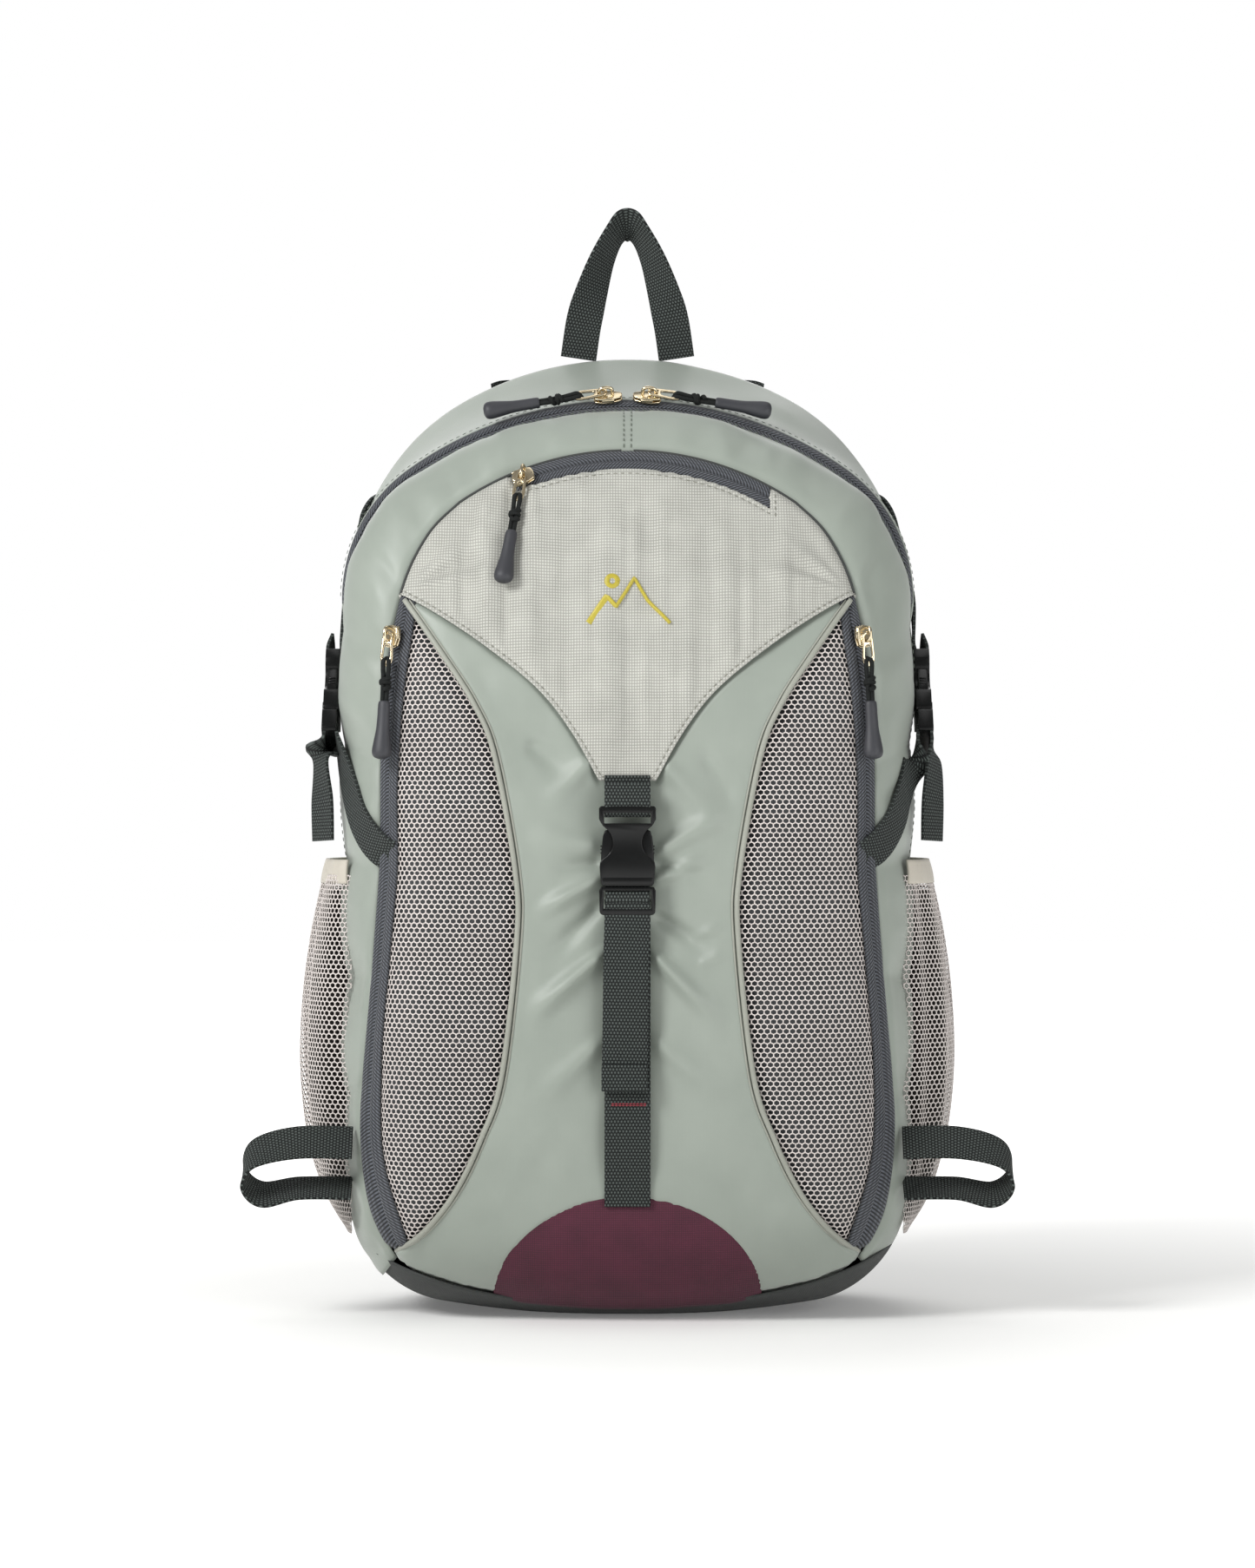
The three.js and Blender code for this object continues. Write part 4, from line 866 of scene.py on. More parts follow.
def hexNet(width, height):
    # One six-sided ring of yarn, copied until it covers the area, from the origin up and to the right.
    pitch, row = netForm["pitch"], netForm["row"]
    bm = bmesh.new()
    bmesh.ops.create_circle(bm, cap_ends=True, segments=6, radius=1,
                            matrix=Matrix.Diagonal((pitch / 2 / math.cos(math.pi / 6), row * 2 / 3, 1, 1)))
    ring = bmesh.ops.inset_individual(bm, faces=bm.faces[:], thickness=netForm["holeRim"])
    inner = [f for f in bm.faces if f not in ring["faces"]]
    bmesh.ops.delete(bm, geom=inner, context="FACES")
    unit = bm.verts[:] + bm.edges[:] + bm.faces[:]
    made = bmesh.ops.duplicate(bm, geom=unit)
    bmesh.ops.translate(bm, verts=[g for g in made["geom"] if isinstance(g, bmesh.types.BMVert)],
                        vec=(pitch / 2, row, 0))
    for size, step, direction in ((width, pitch, (1, 0, 0)), (height, row * 2, (0, 1, 0))):
        reachNow = step
        while reachNow < size:
            made = bmesh.ops.duplicate(bm, geom=bm.verts[:] + bm.edges[:] + bm.faces[:])
            bmesh.ops.translate(bm, verts=[g for g in made["geom"] if isinstance(g, bmesh.types.BMVert)],
                                vec=Vector(direction) * reachNow)
            reachNow *= 2
        surplus = [v for v in bm.verts if v.co.dot(Vector(direction)) > size + step]
        bmesh.ops.delete(bm, geom=surplus, context="VERTS")
    bmesh.ops.remove_doubles(bm, verts=bm.verts, dist=0.02)
    return bm


def netPiece(name, bm, place, material, body):
    # Lays a hexNet over the bag and trims what falls outside.
    flat = np.array([v.co[:2] for v in bm.verts])
    points, keep = place(flat[:, 0], flat[:, 1])
    bm.verts.ensure_lookup_table()
    moved = toModel(points)
    lost = []
    for index, vert in enumerate(bm.verts):
        vert.co = moved[index]
        if not keep[index]:
            lost.append(vert)
    bmesh.ops.delete(bm, geom=lost, context="VERTS")
    stray = [v for v in bm.verts if not v.link_faces]
    bmesh.ops.delete(bm, geom=stray, context="VERTS")
    mesh = meshFrom(bm, name)
    faceOutward(mesh, lambda centre: centre - Vector((0, yShift * 0.001, centre.z)))
    piece = addPiece(name, mesh, material, body)
    wall = piece.modifiers.new("yarn", "SOLIDIFY")
    wall.thickness = netForm["yarn"] * 0.001
    wall.offset = -1
    return piece


lengthSteps = np.linspace(-160, 160, 641)
lengthTable = lengthRows(lengthSteps, np.linspace(0, 400, 81), 3)


def acrossAt(length, z):
    # The x where the cloth's length from the middle is this much, at one height.
    row = np.clip(z / 5.0, 0, 79.999)
    i = row.astype(int)
    t = row - i
    out = np.empty_like(length)
    for k in np.unique(i):
        pick = i == k
        a = np.interp(length[pick], lengthTable[k], lengthSteps)
        b = np.interp(length[pick], lengthTable[k + 1], lengthSteps)
        out[pick] = a * (1 - t[pick]) + b * t[pick]
    return out


def outerX(z):
    # The outer edge of the mesh, as a distance from the middle.
    low = np.interp(z, [15, 43], [110, 117])
    return np.where(z < 43, low, np.abs(atHeight(meshLeft, z)))


def innerX(z):
    return np.where(z < 35, 124.0, np.abs(atHeight(pipingLeft, z)))


def meshPanel(side, mirror):
    def place(u, v):
        z = 30 + v
        x = acrossAt(-(50 + u), z)
        out = np.abs(x)
        gap = np.minimum(out - innerX(z), outerX(z) - out)
        bulge = 1.3 * smooth(0, 16, gap) + 0.5 * softNoise(x / 30 + mirror, z / 40, 4)
        lift = 0.3 + bulge - 1.6 * np.exp(-(np.maximum(gap, 0) / 2.5) ** 2) - np.clip(-gap, 0, 3) * 0.5
        keep = (gap > -2.4) & (z < yokeHeight(x) + 3) & (z > baseEdge(x) - 2)
        points = onFront(x, z, lift)
        points[:, 0] *= -mirror
        return points, keep
    net = hexNet(104, 360)
    return netPiece(f"mesh_panel_{side}_net", net, place, "mesh", "bag")


def meshLiningSheet(u, v):
    z = 12 + (383 - 12) * v
    half = atHeight(seamRight, z)
    half = np.where(z < 31, 124, half)
    x = (u * 2 - 1) * (half - 1)
    z = np.maximum(z, baseEdge(x))
    behindMesh = smooth(-2, 8, np.abs(x) - innerX(z))
    return onFront(x, z, -10 + 6.8 * behindMesh), (clothLength(x, z), z)


def meshTape(mirror):
    def mapping(u, v):
        z = 35 + (384 - 35) * v
        inner, outer = outerX(z) - 0.5, np.where(z < 31, 124, np.abs(atHeight(seamRight, z)))
        outer = np.minimum(outer, 200)
        x = inner + (outer - inner) * u
        humps = np.abs(np.sin(2 * math.pi * u)) ** 0.6
        lift = -0.3 + 0.9 * humps - 1.1 * np.exp(-((u - 0.5) / 0.04) ** 2) - 1.2 * smooth(0.9, 1, u)
        lift = lift - 3 * (1 - smooth(35, 42, z))
        z = np.minimum(z, yokeHeight(x) + 1)
        points = onFront(x * mirror, z, lift)
        return points, ((u - 0.5) * 11, z)
    return mapping


def pocketTape(u, v):
    r = seams["archRadius"] - 0.3 - (pocketZip["width"] - 1.0) * u
    first, last = math.radians(pocketZip["fromTurn"]), np.arcsin((pocketEndX + 0.6) / r)
    turn = first + (last - first) * v
    x, z = r * np.sin(turn), archCentre + r * np.cos(turn)
    humps = np.abs(np.sin(2 * math.pi * u)) ** 0.6
    lift = -0.4 + 0.8 * humps - 0.7 * np.exp(-((u - 0.5) / 0.05) ** 2)
    return onFront(x, z, lift), ((u - 0.5) * 11, turn * 150)


def seamShadowCord():
    # A thin charcoal cord in the seam round the yoke: painted shade, a dark line that stands in for the deep
    # shadow in the seam.
    above = seamRight[seamRight[:, 1] > 385]
    above = evenly(above[above[:, 0] > 3], 160)
    for side, mirror in (("left", -1), ("right", 1)):
        line = onFront(above[:, 0] * mirror, above[:, 1], -0.75)
        cordPiece = tubeAlong(f"yoke_seam_shadow_cord_{side}", line, 0.85, "charcoal", None, 8)
        foldWith(cordPiece)


def pipingRun(mirror, inward, lift):
    flat = evenly(pipingLeft, 260)
    flat[:, 0] += inward
    fade = smooth(35, 44, flat[:, 1])
    return onFront(flat[:, 0] * -mirror, flat[:, 1], lift * fade - 2.5 * (1 - fade))


def makeFrontPockets():
    for side, mirror in (("left", -1), ("right", 1)):
        net = meshPanel(side, mirror)
        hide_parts(f"mesh_panel_{side}")
        tape = gridCloth(f"mesh_zip_tape_{side}_cloth", 16, 220, meshTape(mirror), "tape", 0.6, "bag",
                         forward)
        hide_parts(f"mesh_zip_tape_{side}")
        for part, inward, lift, radius in (("cord", 0.0, 0.7, 1.45), ("lip", 2.5, 0.15, 0.6)):
            cord = tubeAlong(f"piping_{part}_{side}", pipingRun(mirror, inward, lift), radius, "piping",
                             "bag")
    seamShadowCord()
    lining = gridCloth("front_lining_cloth", 60, 80, meshLiningSheet, "lining", 0.4, "bag", forward)
    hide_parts("front_lining")
    tape = gridCloth("pocket_zip_tape_cloth", 12, 90, pocketTape, "tape", 0.6, "lid", forward)
    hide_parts("pocket_zip_tape")
    print("front pockets done")


makeFrontPockets()


def stripPiece(name, stations, width, thickness, material="webbing", body="bag", nodes=(),
               steps=None, ease=None):
    # A flat strap along stations: a point of its middle line and the way its width runs.
    stations = np.array(stations, float)
    steps = steps or len(stations) * 12
    line, wide = spline(stations[:, :3], steps + 1), spline(stations[:, 3:], steps + 1)
    tangent = unitRows(np.gradient(line, axis=0))
    wide -= tangent * (wide * tangent).sum(1, keepdims=True)
    wide = unitRows(wide)
    normal = np.cross(tangent, wide)
    run = runAlong(line)

    def mapping(u, v):
        i = np.rint(v * steps).astype(int)
        across = (u - 0.5) * width
        crown = (0.18 * np.cos((u - 0.5) * math.pi) if ease is None else ease(u, run[i]))
        return line[i] + wide[i] * across[:, None] + normal[i] * crown[:, None], (across, run[i])

    piece = addPiece(name, flatSheet(name, 8, steps, mapping), material, body)
    wall = piece.modifiers.new("webbing", "SOLIDIFY")
    wall.thickness = thickness * 0.001
    wall.offset = 0
    soft = piece.modifiers.new("selvedge", "BEVEL")
    soft.width = 0.00035
    soft.segments = 2
    soft.limit_method = "ANGLE"
    if nodes:
        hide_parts(*nodes)
    return piece


strapForm = dict(wide=25.0, narrow=20.0, thickness=1.6, rest=0.8)
buckleForm = dict(z=252.0, top=21.0, frameTop=-21.5, frameHeight=12.2, bar=3.4, barBack=3.0,
                  barFront=6.2, depth=9.0)
bendRadius = (buckleForm["barFront"] - buckleForm["barBack"]) / 2 + 0.8 + strapForm["thickness"] / 2
bendY = -(buckleForm["barBack"] + buckleForm["barFront"]) / 2
frameLow = buckleForm["frameTop"] - buckleForm["frameHeight"]
frameBar = frameLow + buckleForm["bar"] / 2
socketBar = buckleForm["top"] - buckleForm["bar"] / 2
strapLift = strapForm["rest"] + strapForm["thickness"] / 2
buckleY = float(onFront(0.0, buckleForm["z"], strapForm["rest"])[1])


def aroundBar(barZ, way, behind, ahead):
    turn = []
    for share in (0, 0.25, 0.5, 0.75, 1):
        angle = -math.pi / 2 + math.pi * share
        turn.append([0, bendY - bendRadius * math.sin(angle),
                     barZ + way * bendRadius * math.cos(angle) * 1.1, 1, 0, 0])
    return [*behind, *turn, *ahead]


def onStrapPlane(station):
    x, y, z, *wide = station
    return [x, y + buckleY, z + buckleForm["z"], *wide]


def downFront(fromZ, toZ, lift, count):
    return [[0, float(onFront(0.0, z, lift)[1]), z, 1, 0, 0] for z in np.linspace(fromZ, toZ, count)]


def makeFrontStrap():
    back = -strapLift + strapForm["rest"]
    upper = aroundBar(socketBar, -1, [[0, back + 1.6, 289 - buckleForm["z"], 1, 0, 0],
                                      [0, back, 27, 1, 0, 0]],
                      [[0, bendY - bendRadius, socketBar + 6, 1, 0, 0], [0, bendY - 1, 33, 1, 0, 0]])
    stripPiece("front_strap_upper_webbing", [onStrapPlane(s) for s in upper], strapForm["wide"] - 1,
               strapForm["thickness"], nodes=("front_strap_upper",))
    lower = [onStrapPlane(s) for s in aroundBar(frameBar, 1, [],
                                                [[0, bendY - bendRadius, frameBar - 6, 1, 0, 0]])]
    climb = downFront(63, buckleForm["z"] + frameLow - 5, strapLift, 7)
    tail = downFront(buckleForm["z"] + frameLow - 22, 124, strapLift + 3.4, 4)
    for index, station in enumerate(tail):
        station[0] -= 0.5 + 0.35 * index  # the loose tail lies a little to one side
    stripPiece("front_strap_lower_webbing", [*climb, *lower, *tail], strapForm["wide"] - 1,
               strapForm["thickness"],
               nodes=("front_strap_lower",), steps=260)
    bulge = [[0, bendY + 1.5, frameBar + 1, 1, 0, 0], [0, bendY - 2.9, frameBar + 3, 1, 0, 0],
             [0, bendY - 3.2, -27.0, 1, 0, 0], [0, bendY - 2.6, -24.4, 1, 0, 0],
             [0, bendY + 1.5, -21.5, 1, 0, 0]]
    stripPiece("front_strap_window_webbing", [onStrapPlane(s) for s in bulge], strapForm["wide"] - 2,
               strapForm["thickness"], steps=40)
    hem = downFront(138, 124, strapLift + 3.4 + 1.5, 3)
    for station in hem:
        station[0] -= 1.6
    stripPiece("front_strap_hem", hem, strapForm["wide"] - 1, 1.2, steps=20)
    rows = []
    for z in (116.4, 117.3):
        flat = np.array([[x, z] for x in np.linspace(-8.5, 10.5, 30)])
        rows.append(frontPath(flat, strapLift + 1.0))
    thread = stitchRow("strap_bar_tack", rows, "redThread", "bag", length=1.7, gap=0.15, width=0.8)
    print("front strap done")


makeFrontStrap()


def sideFrame(mirror):
    lean = math.radians(39)
    along = np.array([0, math.sin(lean), math.cos(lean)])
    inward = np.array([-mirror, 0.0, 0.0])
    across = np.cross(inward, along)
    x = mirror * (sideReach + strapForm["rest"])
    return np.array([x, 4.0, 335.0]), across, inward, along


sideReach = float(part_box("side_buckle_frame_right")[0].x) * 1000 - strapForm["rest"]


def sideStations(mirror, stations):
    origin, across, inward, along = sideFrame(mirror)
    return [[*(origin + across * x + inward * y + along * z), *across] for x, y, z, *_ in stations]


def onSide(y, z, lift):
    near, far = 60.0, 170.0
    for step in range(30):
        x = (near + far) / 2
        near, far = (x, far) if frontY(x, z) < y else (near, x)
    low, high = onFront(near, z, lift), onFront(near, z, lift + 1)
    return low, high - low


def onRearWall(mirror, y, z, lift):
    # A point on the wall cloth behind the zip, found from its depth and height.
    low, high = 0.0, math.pi / 2
    for step in range(30):
        angle = (low + high) / 2
        below = wallRaw(np.array([angle]), np.array([y]))[0, 2] < z
        low, high = (angle, high) if below else (low, angle)
    angle = angle if mirror > 0 else math.pi - angle
    start = bagForm["zipY"] + zipHalf * float(smooth(foldZ - 20, foldZ, z))
    share = np.clip((y - start) / (bagForm["backY"] - start), 0, 1)
    point, _ = gussetRear(np.array([(angle - wallFrom) / (wallTo - wallFrom)]), np.array([share]))
    return point[0] + np.array([mirror * lift, 0, lift * 0.5])


def makeSideStraps():
    for side, mirror in (("left", -1), ("right", 1)):
        origin, across, _, along = sideFrame(mirror)
        back = -strapLift + strapForm["rest"]
        wall = []
        for up, lift in ((136, -2.0), (131, 0.6), (120, 1.3), (104, 1.3), (86, 1.3), (68, 1.4), (52, 1.8)):
            y, z = origin[1] + along[1] * up, origin[2] + along[2] * up
            point = onRearWall(mirror, y, z, lift)
            wide = (onRearWall(mirror, y + across[1] * 6, z + across[2] * 6, 0)
                    - onRearWall(mirror, y - across[1] * 6, z - across[2] * 6, 0))
            wall.append([*point, *wide])
        upper = aroundBar(socketBar, -1, [[0, back, 27, 0, 0, 0]],
                          [[0, bendY - bendRadius, socketBar + 6, 0, 0, 0],
                           [0, bendY - 1, socketBar + 14, 0, 0, 0]])
        stripPiece(f"side_strap_upper_{side}_webbing", [*wall, *sideStations(mirror, upper)],
                   strapForm["narrow"] - 1,
                   strapForm["thickness"], nodes=(f"side_strap_upper_{side}",))
        lower = sideStations(mirror, [[0, back, frameLow - 3, 0, 0, 0],
                                      *aroundBar(frameBar, 1, [],
                                                 [[0, bendY - bendRadius, frameBar - 5, 0, 0, 0]])])
        x = origin[0]
        tail = [[x + mirror * 9.5, -22, 296, mirror * 0.4, 0.9, 0],
                [x + mirror * 8.5, -26, 275, mirror * 0.6, 0.8, 0],
                [x + mirror * 8, -27, 254, mirror * 0.6, 0.8, 0]]
        start = []
        for y, z, lift in ((-69, 246, -1.2), (-64, 250.5, 0.9), (-57, 258, strapLift), (-48, 269, strapLift),
                           (-36, 284, strapLift)):
            point, normal = onSide(y, z, lift)
            wide = np.cross(normal, (0, math.radians(39), 1))
            start.append([point[0] * mirror, point[1], point[2], wide[0] * mirror, wide[1], wide[2]])
        stripPiece(f"side_strap_lower_{side}_webbing", [*start, *lower, *tail], strapForm["narrow"] - 1,
                   strapForm["thickness"], nodes=(f"side_strap_lower_{side}",), steps=200)
    print("side straps done")


makeSideStraps()


def makeLoops():
    y, z = bagForm["backY"] - 1, 523
    half = [[-27.5, y, z, 1, 0, 0.12], [-24.5, y, z + 20, 1, 0.1, 0.2], [-20.5, y, z + 36, 0.85, 0.45, 0.2],
            [-14, y + 1, z + 56, 0.6, 0.75, -0.1], [-6.5, y + 3, z + 71, 0.2, 0.75, -0.6],
            [0, y + 4, z + 75.5, 0, 0.5, -0.85]]
    back = [[-a, b, c, -d, e, f] for a, b, c, d, e, f in half[:-1][::-1]]
    stripPiece("haul_loop_webbing", [*half, *back], strapForm["narrow"], strapForm["thickness"],
               body="haul_loop", nodes=("haul_loop",), steps=180)
    for side, mirror in (("left", -1), ("right", 1)):
        stations = [[146, 94, -4, 0.6, 0.8], [176, 94, -4, 0.6, 0.8], [198, 88, -3, 0.7, 0.7],
                    [204, 75.5, 1, 0.8, 0.6], [195, 66, 4, 0.8, 0.6], [175, 69, 6, 0.85, 0.5],
                    [147, 69, 6, 0.85, 0.5]]
        stripPiece(f"tool_loop_{side}_webbing",
                   [[x * mirror, -52 + ahead, h, 0, wy, wz] for x, h, ahead, wy, wz in stations],
                   strapForm["narrow"], strapForm["thickness"], nodes=(f"tool_loop_{side}",), steps=120)
    print("loops done")


makeLoops()


pocketForm = dict(front=-36.0, rear=66.0,
                  profile=[(44, 2), (60, 13), (90, 22), (130, 26.5), (170, 25.5), (205, 21), (244, 12.5)])
pocketProfile = spline(pocketForm["profile"], 120)


def onPocket(around, z, lift=0.0):
    # around runs 0 to 1 from the front edge to the rear edge, on the right side.
    depth = np.interp(z, pocketProfile[:, 0], pocketProfile[:, 1]) + 3
    around = np.clip(around, 0.0, 1.0)
    swell = depth * np.sin(math.pi * around) ** 0.6
    y = pocketForm["front"] + (pocketForm["rear"] - pocketForm["front"]) * around
    x = 148 + swell + lift
    return np.stack([x, y, z + 0 * x], -1)


def wallX(y, z):
    # Where the side wall lies at one depth and height.
    angle = np.arctan2(z - bagForm["centreZ"], 150.0) + 0 * y
    for turn in range(3):
        point = wallRaw(angle, y)
        angle = angle + (z - point[..., 2]) / 160.0
    return wallRaw(angle, y)[..., 0]


def pocketNet(side, mirror):
    steps = np.linspace(0, 1, 241)
    ring = onPocket(steps, np.full_like(steps, 140.0))
    run = runAlong(ring)

    def place(u, v):
        around = np.interp(u, run, steps)
        z = 44 + v
        gather = softNoise(around * 9 + mirror, z / 110, 2) * 2.4 * smooth(44, 90, z)
        gather = gather * smooth(0, 0.1, around) * smooth(1, 0.9, around)
        points = onPocket(around, np.clip(z, 44, 244), 0)
        points[:, 0] += gather - 0.4
        clear = points[:, 0] - wallX(points[:, 1], points[:, 2])
        keep = (z < 236) & (clear > 0.4) & (u < run[-1])
        points[:, 0] *= mirror
        return points, keep

    net = hexNet(run[-1] + 3, 194)
    return netPiece(f"bottle_pocket_{side}_net", net, place, "mesh", "bag")


def pocketHem(mirror):
    def mapping(u, v):
        around, z = 0.006 + 0.988 * u, 231 + 13 * v
        points = onPocket(around, z, 0.6)
        points[:, 0] += softNoise(u * 26, v * 0.6, 3) * 0.5 + 0.5 * np.sin(math.pi * v)
        points[:, 0] *= mirror
        return points, (u * 120, z)
    return mapping


def pocketShadeSheet(mirror):
    # A darker sheet behind the rear half of the net: painted shade for the shaded inside of the pocket.
    def mapping(u, v):
        around, z = 0.5 + 0.49 * u, 47 + 180 * v
        points = onPocket(around, z, -2.4)
        points[:, 0] = np.maximum(points[:, 0], wallX(points[:, 1], z) + 0.2)
        points[:, 0] *= mirror
        return points, (u * 60, z)
    return mapping


def makeBottlePockets():
    for side, mirror in (("left", -1), ("right", 1)):
        # painted shade: a darker sheet inside the pocket, behind the rear half of the net
        lining = gridCloth(f"bottle_pocket_shade_sheet_{side}", 24, 40, pocketShadeSheet(mirror), "pocketShadeSheet",
                           0.5, "bag",
                           lambda centre, m=mirror: (m, 0, 0))
        net = pocketNet(side, mirror)
        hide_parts(f"bottle_pocket_{side}")
        hem = gridCloth(f"bottle_pocket_hem_{side}", 110, 8, pocketHem(mirror), "hem", 1.4, "bag",
                        lambda centre, m=mirror: (m, 0, 0))
    print("bottle pockets done")


makeBottlePockets()


def mouldedPlate(outline, holes, yFrom, yTo, bevel, segments=3):
    # A plate cut to an outline with holes, in the buckle's own frame, given depth and rounded edges.
    bm = bmesh.new()
    edges = []
    for loop in (outline, *holes):
        verts = [bm.verts.new((x, yFrom, z)) for x, z in loop]
        edges += [bm.edges.new((verts[i], verts[(i + 1) % len(verts)])) for i in range(len(verts))]
    bmesh.ops.triangle_fill(bm, edges=edges, use_beauty=True)
    bmesh.ops.dissolve_limit(bm, angle_limit=0.01, verts=bm.verts, edges=bm.edges)
    made = bmesh.ops.extrude_face_region(bm, geom=bm.faces[:])
    bmesh.ops.translate(bm, verts=[g for g in made["geom"] if isinstance(g, bmesh.types.BMVert)],
                        vec=(0, yTo - yFrom, 0))
    bmesh.ops.recalc_face_normals(bm, faces=bm.faces)
    sharp = [e for e in bm.edges if len(e.link_faces) == 2 and e.calc_face_angle() > 0.35]
    bmesh.ops.bevel(bm, geom=sharp, offset=bevel, affect="EDGES", segments=segments, profile=0.5, material=-1,
                    clamp_overlap=True)
    return bm


def arc(centre, radius, fromTurn, toTurn, count):
    turns = np.radians(np.linspace(fromTurn, toTurn, count))
    return [(centre[0] + radius * math.cos(t), centre[1] + radius * math.sin(t)) for t in turns]


def mirrorLine(half):
    return [*half, *[(-x, z) for x, z in half[::-1]]]


def socketParts(scale):
    # Waisted housing whose deep side cuts show the sprung arms, with the bar its strap is sewn round.
    half = [(9.5, -21), *arc((11.6, -18.6), 2.4, -90, 0, 5), (14.6, -11), (14.3, -8.4),
            *arc((17.0, 1.8), 9.4, 243, 126, 13), (12.9, 10.6), (14.9, 14), *arc((13.4, 19.5), 1.5, 0, 90, 4)]
    half = [(x * scale, z) for x, z in half]
    hole = [(12.2 * scale, 11.9), (12.2 * scale, 17.3), (-12.2 * scale, 17.3), (-12.2 * scale, 11.9)]
    shell = mouldedPlate(mirrorLine(half), [hole], -buckleForm["depth"] + 0.3, -0.2, 0.9 * scale, 3)
    collar = [(12.8 * scale, -20.6), (13.4 * scale, -16.4), (-13.4 * scale, -16.4), (-12.8 * scale, -20.6)]
    band = mouldedPlate(collar, [], -buckleForm["depth"] - 0.05, -buckleForm["depth"] + 0.8, 0.4, 2)
    return [shell, band]


def frameParts(scale):
    # The strap is threaded round an inner bar, behind a window whose lower lip stands ahead of it.
    half = [(10.5, -36.0), *arc((12.6, -34.0), 2.0, -90, 0, 5), (14.8, -23.2), (13.8, -21.4)]
    half = [(x * scale, z) for x, z in half]
    hole = [(12.4 * scale, -32.8), (12.4 * scale, -23.2), (-12.4 * scale, -23.2), (-12.4 * scale, -32.8)]
    return [mouldedPlate(mirrorLine(half), [hole], -buckleForm["depth"], -1, 0.7 * scale, 3)]


def leverParts(scale):
    # A sprung arm that shows in the waist of the housing, with a ribbed pad to press.
    arm = [(6, -21), (8.2, -21), (10.4, -11.5), (13.2, -9.6), (13.9, -7.6), (13.7, -2), (12.9, 5.2),
           (12.0, 8.0),
           (10.4, 8.6), (8.6, 7.4), (7.2, 3), (7, -9)]
    arm = [(x * scale, z) for x, z in arm]
    parts = [mouldedPlate(arm, [], -buckleForm["depth"] + 1.9, -1.9, 0.6 * scale, 3)]
    for z in (-3.6, -1.8, 0):
        rib = [(12.9 * scale, z - 0.4), (14.2 * scale, z - 0.4), (14.2 * scale, z + 0.4),
               (12.9 * scale, z + 0.4)]
        parts.append(mouldedPlate(rib, [], -buckleForm["depth"] + 2.6, -2.6, 0.2, 1))
    return parts


def joinParts(name, parts, pose, material, body, nodes, flip=False):
    whole = bmesh.new()
    for bm in parts:
        piece = meshFrom(bm, "part")
        whole.from_mesh(piece)
        bpy.data.meshes.remove(piece)
    if flip:
        bmesh.ops.scale(whole, vec=(-1, 1, 1), verts=whole.verts)
        bmesh.ops.reverse_faces(whole, faces=whole.faces)
    bmesh.ops.transform(whole, matrix=pose, verts=whole.verts)
    if pose.to_3x3().determinant() < 0:
        bmesh.ops.reverse_faces(whole, faces=whole.faces)
    mesh = meshFrom(whole, name)
    piece = addPiece(name, mesh, material, body)
    for edge in mesh.edges:
        edge.use_edge_sharp = False
    if nodes:
        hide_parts(*nodes)
    return piece


def basis(origin, x, y, z):
    # A pose in the model's metres for parts made in millimetres.
    turn = Matrix((Vector(x), Vector(y), Vector(z))).transposed().to_4x4()
    return Matrix.Translation(toModel(np.array(origin, float))) @ turn @ Matrix.Scale(0.001, 4)


def makeBuckles():
    pose = basis((0, buckleY, buckleForm["z"]), (1, 0, 0), (0, 1, 0), (0, 0, 1))
    joinParts("front_buckle_socket_moulding", socketParts(1), pose, "plastic", "bag",
              ("front_buckle_socket",))
    joinParts("front_buckle_frame_moulding", frameParts(1), pose, "plastic", "bag", ("front_buckle_frame",))
    for side, flip in (("right", False), ("left", True)):
        joinParts(f"front_lever_{side}_moulding", leverParts(1), pose, "plastic", f"front_lever_{side}",
                  (f"front_lever_{side}",), flip)
    scale = strapForm["narrow"] / strapForm["wide"]
    for side, mirror in (("left", -1), ("right", 1)):
        origin, across, inward, along = sideFrame(mirror)
        pose = basis(origin, across, inward, along)
        joinParts(f"side_buckle_socket_{side}_moulding", socketParts(scale), pose, "plastic", "bag",
                  (f"side_buckle_socket_{side}",))
        arms = leverParts(scale) + frameParts(scale)
        other = leverParts(scale)
        for bm in other:
            bmesh.ops.scale(bm, vec=(-1, 1, 1), verts=bm.verts)
            bmesh.ops.reverse_faces(bm, faces=bm.faces)
        joinParts(f"side_buckle_frame_{side}_moulding", arms + other, pose, "plastic", "bag",
                  (f"side_buckle_frame_{side}",))
    print("buckles done")


makeBuckles()


sliderForm = dict(height=3.4, tab=15.0, reach=66.0, mainTurn=3.4, mainGap=2.8, meshGap=2.0,
                  meshStart=(122.5, 362.0), meshEnd=(130.8, 200.0))


